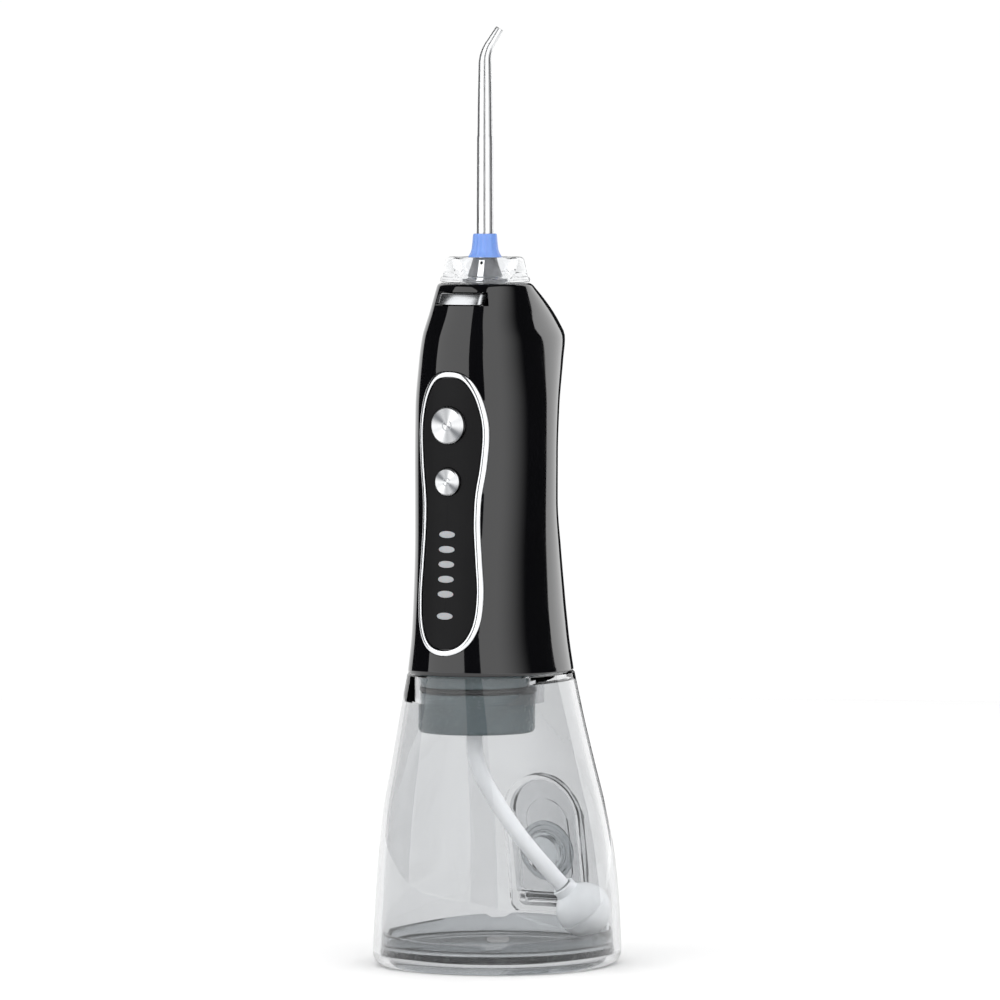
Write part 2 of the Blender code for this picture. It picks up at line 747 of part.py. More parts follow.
def build_fill_plug():
    """Silicone stopper: a round flange against the pocket's floor and a tapered core in the hole."""
    foot, up, out = pocket_frame()
    centre = foot + up * plug_rise()
    plug = cylinder("fill_plug", "frosted_silicone", centre + out * GAP, centre + out * (GAP + 1.3),
                    PLUG_FLANGE_RADIUS, 32)
    core = cone("plug_core", None, centre - out * PLUG_LENGTH, centre + out * (GAP + 0.5),
                PLUG_TIP_RADIUS, PLUG_CORE_RADIUS, 32)
    join(plug, core)
    set_origin(plug, 0.0, hinge_line_y(), HINGE_Z)
    return plug


# ---- Handset casing ------------------------------------------------------------------------
def build_handle_casing():
    rings = [handle_ring(z) for z in handle_heights(HANDLE_BOTTOM, HANDLE_TOP - 0.8)]
    rings.append(handle_ring(HANDLE_TOP, 0.5))
    casing = loft("handle_casing", "black_gloss", rings)

    roof = HANDLE_TOP - CASING_WALL
    inner = [handle_ring(HANDLE_BOTTOM - 1.0, CASING_WALL)]
    inner += [handle_ring(z, CASING_WALL) for z in handle_heights(HANDLE_BOTTOM + 6, roof, 14.0, 5.0)]
    cut(casing, loft("casing_cavity", None, inner))

    pocket = prism_y("panel_pocket", None, panel_outline(TRIM_WIDTH + GAP), -45.0, -15.0)
    cut(pocket, handle_solid("pocket_floor", PANEL_THICK + 0.4, PANEL_FROM, PANEL_TO))
    cut(casing, pocket)
    cut_front_openings(casing, GAP)

    cut(casing, cylinder("dial_hole", None, (0, NOZZLE_Y, HANDLE_TOP - 6), (0, NOZZLE_Y, HANDLE_TOP + 2),
                         CORE_BASE_RADIUS + 1.2, 32))
    cut(casing, release_slot())
    cut_charge_opening(casing)
    return casing


def cut_front_openings(target, clear):
    """Holes for the two buttons, the status lights and the charge light."""
    for label, z, radius in (("power", POWER_Z, POWER_RADIUS), ("mode", MODE_Z, MODE_RADIUS)):
        cut(target, cylinder(target.name + "_" + label + "_hole", None, (0, -45, z), (0, -20, z),
                             radius + clear, 32))
    for index, z in enumerate(light_heights()):
        cut(target, prism_y(target.name + "_light_hole_%d" % index, None,
                            oval(z, LIGHT_LENGTH + 2 * clear, LIGHT_HEIGHT + 2 * clear), -45.0, -20.0))


def light_heights():
    return [LIGHT_TOP_Z - LIGHT_PITCH * index for index in range(LIGHT_COUNT)] + [CHARGE_Z]


def release_slot():
    """Opening for the release button: a wedge of the front wall, seen from above."""
    reach = 40.0
    angle = RELEASE_HALF_ANGLE + math.radians(4.5)
    points = [(0.0, NOZZLE_Y - 3.0), (-reach * math.sin(angle), NOZZLE_Y - reach * math.cos(angle)),
              (reach * math.sin(angle), NOZZLE_Y - reach * math.cos(angle))]
    low = LATCH_Z - RELEASE_HEIGHT / 2 - GAP
    high = LATCH_Z + RELEASE_HEIGHT / 2 + GAP
    return prism_z("release_slot", None, points, low, high)


def cut_charge_opening(casing):
    """A shallow recess for the rubber flap and the hole for the charging plug behind it."""
    back = back_of(handle_ring(PORT_Z))
    half = PORT_WIDTH / 2 + GAP
    recess = box("port_recess", None, (-half, back - 14.0, PORT_Z - PORT_HEIGHT / 2 - GAP),
                 (half, back + 6.0, PORT_Z + PORT_HEIGHT / 2 + GAP))
    cut(recess, handle_solid("port_floor", FLAP_THICK + 0.1, PORT_Z - 9.5, PORT_Z + 14.5, 4.0))
    cut(casing, recess)
    cut(casing, box("port_hole", None, (-5.2, back - 8.0, PORT_Z - 2.2), (5.2, back + 6.0, PORT_Z + 2.2)))


def build_charge_port_cover():
    """Rubber flap over the charging socket, flush with the casing, hinged along its top edge."""
    back = back_of(handle_ring(PORT_Z))
    half = PORT_WIDTH / 2
    flap = box("charge_port_cover", "seal_rubber", (-half, back - 12.0, PORT_Z - PORT_HEIGHT / 2),
               (half, back + 6.0, PORT_Z + PORT_HEIGHT / 2))
    keep(flap, handle_solid("flap_outer", -0.15, PORT_Z - 9.5, PORT_Z + 14.5, 4.0))
    cut(flap, handle_solid("flap_inner", FLAP_THICK - 0.35, PORT_Z - 10.5, PORT_Z + 15.5, 4.0))
    top = back_of(handle_ring(PORT_Z + PORT_HEIGHT / 2))
    set_origin(flap, 0.0, top, PORT_Z + PORT_HEIGHT / 2)
    return flap


def build_charge_jack():
    back = back_of(handle_ring(PORT_Z, CASING_WALL))
    jack = box("charge_jack", "polished_steel", (-4.5, back - 7.6, PORT_Z - 1.6),
               (4.5, back - 1.6, PORT_Z + 1.6))
    cut(jack, box("jack_mouth", None, (-4.1, back - 6.0, PORT_Z - 1.2), (4.1, back, PORT_Z + 1.2)))
    return jack


# ---- Control panel -------------------------------------------------------------------------
def build_control_panel():
    panel = prism_y("control_panel", "black_matte", panel_outline(-0.1), -45.0, -15.0)
    keep(panel, handle_solid("panel_face", 0.1, PANEL_FROM, PANEL_TO))
    cut(panel, handle_solid("panel_back", 0.1 + PANEL_THICK, PANEL_FROM - 1, PANEL_TO + 1))
    cut_front_openings(panel, GAP)
    return panel


def build_panel_trim():
    trim = prism_y("panel_trim", "polished_steel", panel_outline(TRIM_WIDTH), -45.0, -15.0)
    keep(trim, handle_solid("trim_face", -TRIM_PROUD, PANEL_FROM, PANEL_TO))
    cut(trim, handle_solid("trim_back", 0.1 + PANEL_THICK, PANEL_FROM - 1, PANEL_TO + 1))
    cut(trim, prism_y("trim_inside", None, panel_outline(0.1 + GAP), -50.0, -10.0))
    return trim


def build_lights():
    back = BOARD_FRONT - 0.7
    for index, z in enumerate(light_heights()):
        name = "charge_light" if index == LIGHT_COUNT else "status_light_%d" % (index + 1)
        front = front_of(handle_ring(z)) + 0.05
        prism_y(name, "white_plastic", oval(z, LIGHT_LENGTH, LIGHT_HEIGHT), front, back)


def build_button(name, z, radius):
    """Spun metal cap with a stem that reaches its switch."""
    face = front_of(handle_ring(z)) - BUTTON_PROUD
    cap = cylinder(name, "spun_metal", (0, face + 2.6, z), (0, face, z), radius, 32)
    stem_end = BOARD_FRONT - SWITCH_HEIGHT - BUTTON_TRAVEL - 0.2
    stem = cylinder(name + "_stem", None, (0, stem_end, z), (0, face + 2.0, z), 1.6, 16)
    join(cap, stem)
    set_origin(cap, 0.0, face, z)
    return cap


def build_switch(name, z):
    half = SWITCH_SIZE / 2
    return box(name, "black_matte", (-half, BOARD_FRONT - SWITCH_HEIGHT, z - half),
               (half, BOARD_FRONT - GAP, z + half))


def build_circuit_board():
    half = BOARD_WIDTH / 2
    board = box("circuit_board", "circuit_green", (-half, BOARD_FRONT, MOTOR_LOW),
                (half, BOARD_FRONT + BOARD_THICK, POWER_Z + 7.0))
    return board


# ---- Dock ----------------------------------------------------------------------------------
def build_dock():
    """The handset's foot: a round plug that goes into the tank, under a flange in the casing."""
    inset = CASING_WALL + GAP
    low = HANDLE_BOTTOM + GAP
    flange = [handle_ring(z, inset) for z in (low, low + DOCK_FLANGE)]
    dock = loft("dock", "slate_plastic", flange)
    bottom = TANK_HEIGHT - DOCK_DROP
    plug = loft("dock_plug", None,
                [circle(0.0, DOCK_Y, bottom, DOCK_RADIUS - 1.2), circle(0.0, DOCK_Y, bottom + 1.2, DOCK_RADIUS),
                 circle(0.0, DOCK_Y, low + 1.5, DOCK_RADIUS)])
    join(dock, plug)
    hollow = cylinder("dock_hollow", None, (0, DOCK_Y, bottom + DOCK_FLOOR),
                      (0, DOCK_Y, low + DOCK_FLANGE + 2), DOCK_HOLLOW, 40)
    cut(dock, hollow)
    groove = turned("seal_groove", None, groove_profile(), 40, 0.0, DOCK_Y)
    cut(dock, groove)
    cut(dock, cylinder("barb_hole", None, (0, barb_y(), bottom - 2), (0, barb_y(), bottom + 6),
                       BARB_RADIUS + GAP, 20))
    cut(dock, cylinder("hose_socket", None, (0, barb_y(), bottom - 2),
                       (0, barb_y(), bottom + HOSE_RECESS), HOSE_DIAMETER / 2 + 0.9, 28))
    for index, (x, y) in enumerate(dock_screw_places()):
        cut(dock, cylinder("dock_screw_hole_%d" % index, None, (x, y, low - 2),
                           (x, y, low + DOCK_FLANGE + 2), 1.0 + GAP, 16))
        cut(dock, cylinder("dock_head_hole_%d" % index, None, (x, y, low - 2), (x, y, low + 1.4),
                           1.9 + GAP, 16))
    return dock


def seal_z():
    return TANK_HEIGHT - NECK_DEPTH * 0.55


def groove_profile():
    half = SEAL_RADIUS + GAP
    inner = SEAL_CENTRE - SEAL_RADIUS - GAP
    return [(DOCK_RADIUS + 1, seal_z() + half), (DOCK_RADIUS + 1, seal_z() - half),
            (inner, seal_z() - half), (inner, seal_z() + half)]


def build_dock_seal():
    profile = []
    for index in range(6):
        angle = -2 * math.pi * index / 6
        profile.append((SEAL_CENTRE + SEAL_RADIUS * math.cos(angle),
                        seal_z() + SEAL_RADIUS * math.sin(angle)))
    return turned("dock_seal", "seal_rubber", profile, 32, 0.0, DOCK_Y)


def barb_y():
    return DOCK_Y - 1.4


def inlet_points():
    return [Vector((x, NOZZLE_Y + y, HANDLE_BOTTOM + z)) for x, y, z in INLET_ROUTE]


def build_suction_barb():
    """Tube through the dock's floor that joins the hose to the suction tube."""
    bottom = TANK_HEIGHT - DOCK_DROP
    top = inlet_points()[0] - Vector((0.0, 0.0, 2.0))
    start = Vector((0.0, barb_y(), bottom + HOSE_RECESS))
    bends = [start + Vector((0, 0, 3)), start + Vector((1.2, 0.2, 9)), top - Vector((1.4, 0.5, 7)),
             top - Vector((0, 0, 2))]
    points = [start] + smooth_points(bends, 3) + [top]
    return tube("suction_barb", "slate_plastic", points, BARB_RADIUS * 2)


def dock_screw_places():
    back = back_of(handle_ring(HANDLE_BOTTOM))
    return [(-13.4, back - 16.3), (13.4, back - 16.3), (0.0, back - 8.9)]


def screw(name, head, way, length, radius, head_radius, head_height=1.2):
    """Pan-head screw: head end at the given point, shank along the given way."""
    head = Vector(head)
    way = Vector(way)
    body = cylinder(name, "polished_steel", head, head + way * head_height, head_radius, 16)
    shank = cylinder(name + "_shank", None, head + way * head_height * 0.5, head + way * length,
                     radius, 12)
    join(body, shank)
    return body


def build_dock_screws():
    low = HANDLE_BOTTOM + GAP + 0.2
    for index, (x, y) in enumerate(dock_screw_places()):
        screw("dock_screw_%d" % (index + 1), (x, y, low), (0, 0, 1), 6.4, 1.0, 1.9, 1.0)


# ---- Chassis, battery and motor ------------------------------------------------------------
def gear_z():
    return PINION_LOW + PINION_LENGTH / 2 + MODULE * GEAR_TEETH / 2


def gear_face_y():
    """Where the crown gear's tooth tips end, next to the pinion."""
    return MOTOR_Y + 2.05


def build_chassis():
    """Moulded frame: a back plate, a shelf over the motor, a shelf under the cylinder and a foot."""
    y0 = CHASSIS_Y - CHASSIS_THICK / 2
    y1 = CHASSIS_Y + CHASSIS_THICK / 2
    foot_z = HANDLE_BOTTOM + 2 * GAP + DOCK_FLANGE
    top = CYLINDER_LOW + CYLINDER_LENGTH + HEAD_HEIGHT
    half = BOARD_WIDTH / 2 + 1.9
    chassis = box("chassis", "grey_plastic", (-half, y0, foot_z), (half, y1, top))
    shelf = box("motor_shelf", None, (-half, MOTOR_Y - MOTOR_FLAT / 2, MOTOR_LOW + MOTOR_LENGTH + GAP),
                (half, y0 + 0.5, MOTOR_LOW + MOTOR_LENGTH + GAP + 1.4))
    clamp = box("cylinder_shelf", None, (-half, MOTOR_Y - MOTOR_FLAT / 2, CYLINDER_LOW - GAP - 2.0),
                (half, y0 + 0.5, CYLINDER_LOW - GAP))
    boss = cylinder("axle_boss", None, (0, y0 + 0.5, gear_z()),
                    (0, gear_face_y() + TOOTH_DEPTH + GEAR_DISC + GAP, gear_z()), 3.4, 24)
    join(chassis, shelf, clamp, boss)
    for index, (x, y) in enumerate(dock_screw_places()):
        label = str(index)
        if y > CHASSIS_Y:
            ear = box("ear_" + label, None, (x - 3.0, y0, foot_z), (x + 3.0, y + 2.6, foot_z + 3.2))
            join(chassis, ear)
    for index, (x, y) in enumerate(dock_screw_places()):
        cut(chassis, cylinder("ear_hole_%d" % index, None, (x, y, foot_z - 2), (x, y, foot_z + 4.4),
                              1.0 + GAP, 12))
    cut(chassis, cylinder("shaft_hole", None, (0, MOTOR_Y, MOTOR_LOW + MOTOR_LENGTH - 1),
                          (0, MOTOR_Y, PINION_LOW + 2), 3.2, 20))
    cut(chassis, cylinder("rod_hole", None, (0, MOTOR_Y, CYLINDER_LOW - 4), (0, MOTOR_Y, CYLINDER_LOW + 1),
                          ROD_RADIUS + 0.5, 20))
    cut(chassis, cylinder("axle_hole", None, (0, y1 + 1, gear_z()), (0, MOTOR_Y, gear_z()),
                          AXLE_RADIUS + GAP, 20))
    for index, x in enumerate(motor_screw_places()):
        cut(chassis, cylinder("motor_screw_hole_%d" % index, None,
                              (x, MOTOR_Y, MOTOR_LOW + MOTOR_LENGTH - 1),
                              (x, MOTOR_Y, PINION_LOW + 2), 0.8 + GAP, 12))
    run = smooth_points(inlet_points()[:4], 3)[:7]
    run = [run[0] - Vector((0, 0, 6))] + run
    for index, (near, far) in enumerate(zip(run, run[1:])):
        lap = (far - near).normalized() * 0.3
        cut(chassis, cylinder("inlet_way_%d" % index, None, near - lap, far + lap,
                              TUBE_DIAMETER / 2 + TUBE_CLEAR, 16))
    return chassis


def build_battery_cell():
    y = CHASSIS_Y + CHASSIS_THICK / 2 + GAP + BATTERY_RADIUS
    low = BATTERY_LOW
    cell = cylinder("battery_cell", "cell_wrap", (0, y, low), (0, y, low + BATTERY_LENGTH),
                    BATTERY_RADIUS, 32)
    button = cylinder("cell_button", None, (0, y, low + BATTERY_LENGTH - 0.5),
                      (0, y, low + BATTERY_LENGTH + 1.0), 2.8, 20)
    join(cell, button)
    return cell


def build_motor_can():
    motor = cylinder("motor_can", "polished_steel", (0, MOTOR_Y, MOTOR_LOW),
                     (0, MOTOR_Y, MOTOR_LOW + MOTOR_LENGTH), MOTOR_RADIUS, 32)
    keep(motor, box("motor_flats", None, (-20, MOTOR_Y - MOTOR_FLAT / 2, MOTOR_LOW - 5),
                    (20, MOTOR_Y + MOTOR_FLAT / 2, MOTOR_LOW + MOTOR_LENGTH + 5)))
    join(motor, cylinder("motor_boss", None, (0, MOTOR_Y, MOTOR_LOW + MOTOR_LENGTH - 1),
                         (0, MOTOR_Y, MOTOR_LOW + MOTOR_LENGTH + 1.2), 2.8, 20))
    cut(motor, cylinder("motor_bore", None, (0, MOTOR_Y, MOTOR_LOW + 6),
                        (0, MOTOR_Y, MOTOR_LOW + MOTOR_LENGTH + 3), SHAFT_RADIUS + GAP, 16))
    for index, x in enumerate(motor_screw_places()):
        cut(motor, cylinder("motor_tap_%d" % index, None, (x, MOTOR_Y, MOTOR_LOW + MOTOR_LENGTH - 3),
                            (x, MOTOR_Y, MOTOR_LOW + MOTOR_LENGTH + 1), 0.8 + GAP, 12))
    return motor


def motor_screw_places():
    return (-6.6, 6.6)


def build_motor_screws():
    top = MOTOR_LOW + MOTOR_LENGTH + GAP + 1.4 + GAP + 1.2
    for index, x in enumerate(motor_screw_places()):
        screw("motor_screw_%d" % (index + 1), (x, MOTOR_Y, top), (0, 0, -1), 4.6, 0.8, 1.6)


def build_motor_rotor():
    shaft = cylinder("motor_shaft", "polished_steel", (0, MOTOR_Y, MOTOR_LOW + 8),
                     (0, MOTOR_Y, PINION_LOW + PINION_LENGTH + 0.2), SHAFT_RADIUS, 16)
    set_origin(shaft, 0.0, MOTOR_Y, PINION_LOW)
    outline = []
    pitch = MODULE * PINION_TEETH / 2
    root, tip = pitch - 0.85, 2.8
    for tooth in range(PINION_TEETH):
        middle = 2 * math.pi * tooth / PINION_TEETH + math.pi / 2 + math.pi / PINION_TEETH
        for radius, spread in ((root, -0.36), (pitch, -0.115), (tip, -0.085), (tip, 0.085),
                               (pitch, 0.115), (root, 0.36)):
            angle = middle + spread
            outline.append((radius * math.cos(angle), MOTOR_Y + radius * math.sin(angle)))
    pinion = prism_z("motor_pinion", "brass", outline, PINION_LOW, PINION_LOW + PINION_LENGTH)
    cut(pinion, cylinder("pinion_bore", None, (0, MOTOR_Y, PINION_LOW - 1),
                         (0, MOTOR_Y, PINION_LOW + PINION_LENGTH + 1), SHAFT_RADIUS + 0.15, 16))
    set_origin(pinion, 0.0, MOTOR_Y, PINION_LOW)


def build_crank_gear():
    """Crown gear: a disc about a Y axis, with its teeth standing forward next to the pinion."""
    z = gear_z()
    disc_front = gear_face_y() + TOOTH_DEPTH
    disc = cylinder("crank_gear", "white_plastic", (0, disc_front + GEAR_DISC, z), (0, disc_front, z),
                    GEAR_RADIUS, 40)
    bm = bmesh.new()
    for tooth in range(GEAR_TEETH):
        angle = 2 * math.pi * tooth / GEAR_TEETH
        middle = Vector((0, gear_face_y() + TOOTH_DEPTH / 2 + 0.2, z)) * MM
        spoke = Matrix.Translation(middle) @ Matrix.Rotation(angle, 4, "Y")
        spoke = spoke @ Matrix.Translation((0, 0, -(GEAR_RADIUS - 0.05 - TOOTH_LENGTH / 2) * MM))
        size = Matrix.Diagonal((TOOTH_WIDTH * MM, (TOOTH_DEPTH + 0.4) * MM, TOOTH_LENGTH * MM, 1.0))
        bmesh.ops.create_cube(bm, size=1.0, matrix=spoke @ size)
    join(disc, finish_mesh("gear_teeth", bm, None))
    cut(disc, cylinder("gear_bore", None, (0, disc_front - 2, z), (0, disc_front + GEAR_DISC + 2, z),
                       AXLE_RADIUS + 0.25, 20))
    set_origin(disc, 0.0, disc_front, z)
    return disc


def build_gear_axle():
    start = CHASSIS_Y + CHASSIS_THICK / 2 - 0.1
    return cylinder("gear_axle", "polished_steel", (0, start, gear_z()),
                    (0, gear_face_y() + TOOTH_DEPTH + 0.1, gear_z()), AXLE_RADIUS, 16)


def build_crank_pin():
    """Pin on the gear's face; it starts at the bottom of its turn."""
    z = gear_z() - THROW
    start = gear_face_y() + TOOTH_DEPTH - GAP
    pin = cylinder("crank_pin", "polished_steel", (0, start, z), (0, yoke_front() - 0.6, z),
                   CRANK_PIN_RADIUS, 16)
    set_origin(pin, 0.0, start, gear_z())
    return pin


def yoke_back():
    return gear_face_y() - 0.5


def yoke_front():
    return yoke_back() - YOKE_DEPTH


def build_piston():
    """Scotch yoke: a slotted plate on the crank pin, with a rod up to the piston seal."""
    z = gear_z() - THROW
    half_slot = CRANK_PIN_RADIUS + SLOT_CLEAR
    half_wide = THROW + CRANK_PIN_RADIUS + SLOT_CLEAR
    yoke = box("piston_yoke", "white_plastic",
               (-half_wide - YOKE_BAR, yoke_front(), z - half_slot - YOKE_BAR),
               (half_wide + YOKE_BAR, yoke_back(), z + half_slot + YOKE_BAR))
    cut(yoke, box("yoke_slot", None, (-half_wide, yoke_front() - 1, z - half_slot),
                  (half_wide, yoke_back() + 1, z + half_slot)))
    seal_low = CYLINDER_LOW + 4.0
    rod = cylinder("piston_rod", None, (0, MOTOR_Y, z + half_slot + YOKE_BAR / 2),
                   (0, MOTOR_Y, seal_low + PISTON_LENGTH + 1.0), ROD_RADIUS, 20)
    head = cylinder("piston_head", None, (0, MOTOR_Y, seal_low - 0.8), (0, MOTOR_Y, seal_low - GAP),
                    BORE_RADIUS - GAP, 24)
    join(yoke, rod, head)
    seal = turned("piston_seal", "seal_rubber",
                  [(BORE_RADIUS - GAP, seal_low + PISTON_LENGTH), (BORE_RADIUS - 0.7, seal_low + 1.5),
                   (BORE_RADIUS - GAP, seal_low), (ROD_RADIUS + 0.25, seal_low),
                   (ROD_RADIUS + 0.25, seal_low + PISTON_LENGTH)], 24, 0.0, MOTOR_Y)
    return yoke, seal


# ---- Pump ----------------------------------------------------------------------------------
def build_pump():
    top = CYLINDER_LOW + CYLINDER_LENGTH
    turned("pump_cylinder", "grey_plastic",
           [(CYLINDER_RADIUS, top), (CYLINDER_RADIUS, CYLINDER_LOW), (BORE_RADIUS, CYLINDER_LOW),
            (BORE_RADIUS, top)], 28, 0.0, MOTOR_Y)
    low = top + GAP
    high = low + HEAD_HEIGHT
    head = box("pump_head", "grey_plastic", (-8.2, MOTOR_Y - 6.4, low), (8.2, MOTOR_Y + 6.0, high))
    chamber = cylinder("head_chamber", None, (0, MOTOR_Y, low - 1), (0, MOTOR_Y, low + 2.4), 3.4, 20)
    outlet_y = MOTOR_Y + OUTLET_SHIFT
    way_out = cylinder("head_outlet", None, (0, outlet_y, low + 2), (0, outlet_y, high + 1), 1.8, 20)
    way_in = cylinder("head_inlet", None, (0, MOTOR_Y, low + 3.0), (10, MOTOR_Y, low + 3.0), 2.0, 20)
    cut(head, chamber, way_out, way_in)
    cylinder("inlet_valve", "seal_rubber", (4.4, MOTOR_Y, low + 3.0), (5.4, MOTOR_Y, low + 3.0), 1.7, 16)
    cylinder("outlet_valve", "seal_rubber", (0, outlet_y, low + 5.4), (0, outlet_y, low + 6.4), 1.5, 16)
    entry = Vector((8.2 + GAP, MOTOR_Y, low + 3.0))
    foot = inlet_points()[0] - Vector((0.0, 0.0, 1.5))
    inlet = smooth_points(inlet_points() + [entry + Vector((2.6, 0, 0))], 3)
    tube("inlet_tube", "frosted_silicone", [foot] + inlet + [entry], TUBE_DIAMETER)
    start = Vector((0, outlet_y, high + GAP))
    end = Vector((0, NOZZLE_Y, RECEIVER_LOW - GAP))
    lead = Vector((0, 0, 0.7))
    path = [start]
    for step in range(7):
        share = step / 6
        across = (1 - math.cos(math.pi * share)) / 2
        bend = end - start - 2 * lead
        path.append(start + lead + Vector((0, bend.y * across, bend.z * share)))
    tube("outlet_tube", "frosted_silicone", path + [end], OUTLET_DIAMETER)


# ---- Nozzle receiver, latch and dial -------------------------------------------------------
def build_nozzle_receiver():
    receiver = turned("nozzle_receiver", "grey_plastic",
                      [(RECEIVER_RADIUS + 2.2, RECEIVER_TOP), (RECEIVER_RADIUS + 2.2, RECEIVER_TOP - 1.6),
                       (RECEIVER_RADIUS, RECEIVER_TOP - 1.6), (RECEIVER_RADIUS, RECEIVER_LOW),
                       (1.2, RECEIVER_LOW), (1.2, RECEIVER_LOW + 3.0),
                       (STEM_RADIUS + 1.6, RECEIVER_LOW + 3.0), (STEM_RADIUS + 1.6, RECEIVER_TOP)],
                      24)
    post = box("spring_post", None, (-2.6, NOZZLE_Y + RECEIVER_RADIUS - 0.6, RECEIVER_TOP - 1.6),
               (2.6, NOZZLE_Y + RECEIVER_RADIUS + 9.4, RECEIVER_TOP - 0.2))
    tab = box("spring_tab", None, (-2.6, NOZZLE_Y + RECEIVER_RADIUS + 7.6, RECEIVER_TOP - 1.0),
              (2.6, NOZZLE_Y + RECEIVER_RADIUS + 9.4, LATCH_Z + 1.6))
    join(receiver, post, tab)
    return receiver


def build_receiver_seal():
    z = RECEIVER_LOW + 7.0
    profile = []
    radius = 0.5
    centre = STEM_RADIUS + GAP + radius
    for index in range(6):
        angle = -2 * math.pi * index / 6
        profile.append((centre + radius * math.cos(angle), z + radius * math.sin(angle)))
    return turned("receiver_seal", "seal_rubber", profile, 20)


def build_tip_release():
    """Release button in the casing's front, and the latch plate that it pushes."""
    low = LATCH_Z - RELEASE_HEIGHT / 2
    high = LATCH_Z + RELEASE_HEIGHT / 2
    reach = 40.0
    angle = RELEASE_HALF_ANGLE
    wedge = [(0.0, NOZZLE_Y - 3.0), (-reach * math.sin(angle), NOZZLE_Y - reach * math.cos(angle)),
             (reach * math.sin(angle), NOZZLE_Y - reach * math.cos(angle))]
    button = prism_z("release_button", "spun_metal", wedge, low, high)
    keep(button, handle_solid("button_outer", -0.35, LATCH_Z - 7.7, HANDLE_TOP - 0.4, 3.0, 3.0))
    cut(button, handle_solid("button_inner", CASING_WALL - 0.2, LATCH_Z - 8.7, HANDLE_TOP, 3.0, 3.0))
    set_origin(button, 0.0, NOZZLE_Y, LATCH_Z)

    z0 = LATCH_Z - LATCH_THICK / 2
    front = front_of(handle_ring(LATCH_Z))
    back = NOZZLE_Y + STEM_RADIUS + 3.4
    plate = box("latch_plate", "grey_plastic", (-5.4, front, z0), (5.4, back, z0 + LATCH_THICK))
    window = cylinder("latch_window", None, (0, NOZZLE_Y, z0 - 1), (0, NOZZLE_Y, z0 + 3),
                      STEM_RADIUS + 0.7, 24)
    shifted = cylinder("latch_window_front", None, (0, NOZZLE_Y - LATCH_TRAVEL, z0 - 1),
                       (0, NOZZLE_Y - LATCH_TRAVEL, z0 + 3), STEM_RADIUS + 0.7, 24)
    cut(plate, window, shifted)
    keep(plate, handle_solid("latch_limit", CASING_WALL + GAP, LATCH_Z - 9.7, HANDLE_TOP, 3.0, 3.0))
    set_origin(plate, 0.0, NOZZLE_Y, LATCH_Z)
    build_latch_spring(back)


def build_latch_spring(plate_back):
    start = plate_back + GAP
    end = NOZZLE_Y + RECEIVER_RADIUS + 7.6 - GAP
    turns, per_turn, radius, wire = 4, 8, 0.9, 0.4
    points = []
    for index in range(turns * per_turn + 1):
        angle = 2 * math.pi * index / per_turn
        along = start + wire / 2 + (end - start - wire) * index / (turns * per_turn)
        points.append((radius * math.cos(angle), along, LATCH_Z + radius * math.sin(angle)))
    return tube("latch_spring", "polished_steel", points, wire, 1)


def build_dial():
    low = HANDLE_TOP + GAP + 0.1
    crown = turned("dial_crown", "clear_plastic",
                   [(CROWN_TOP_RADIUS - 0.7, low + CROWN_HEIGHT), (CROWN_TOP_RADIUS, low + CROWN_HEIGHT - 0.6),
                    (CROWN_BASE_RADIUS, low + 0.6), (CROWN_BASE_RADIUS - 0.2, low),
                    (CORE_BASE_RADIUS + GAP, low), (CORE_BASE_RADIUS + GAP, low + 1.6),
                    (CROWN_TOP_RADIUS - 2.6, low + CROWN_HEIGHT)], 36)
    for index in range(CROWN_FLATS):
        angle = math.radians(-60.0) + 2 * math.pi * index / CROWN_FLATS
        way = Vector((math.cos(angle), math.sin(angle), 0.0))
        side = Vector((-way.y, way.x, 0.0))
        axis = Vector((0.0, NOZZLE_Y, 0.0))
        corners = [axis + way * CROWN_FLAT - side * 14.0, axis + way * 24.0 - side * 14.0,
                   axis + way * 24.0 + side * 14.0, axis + way * CROWN_FLAT + side * 14.0]
        cut(crown, prism_z("crown_flat_%d" % index, None, [(p.x, p.y) for p in corners],
                           low + 1.2, low + CROWN_HEIGHT + 2))
    bore = STEM_RADIUS + 0.4
    core = turned("dial_core", "grey_plastic",
                  [(CORE_TOP_RADIUS, low + CORE_HEIGHT), (CORE_BASE_RADIUS, low),
                   (CORE_BASE_RADIUS, HANDLE_TOP - CASING_WALL - GAP),
                   (CORE_BASE_RADIUS + 2.0, HANDLE_TOP - CASING_WALL - GAP),
                   (CORE_BASE_RADIUS + 2.0, HANDLE_TOP - CASING_WALL - GAP - 0.6),
                   (bore, HANDLE_TOP - CASING_WALL - GAP - 0.6), (bore, low + CORE_HEIGHT)], 28)
    return crown, core


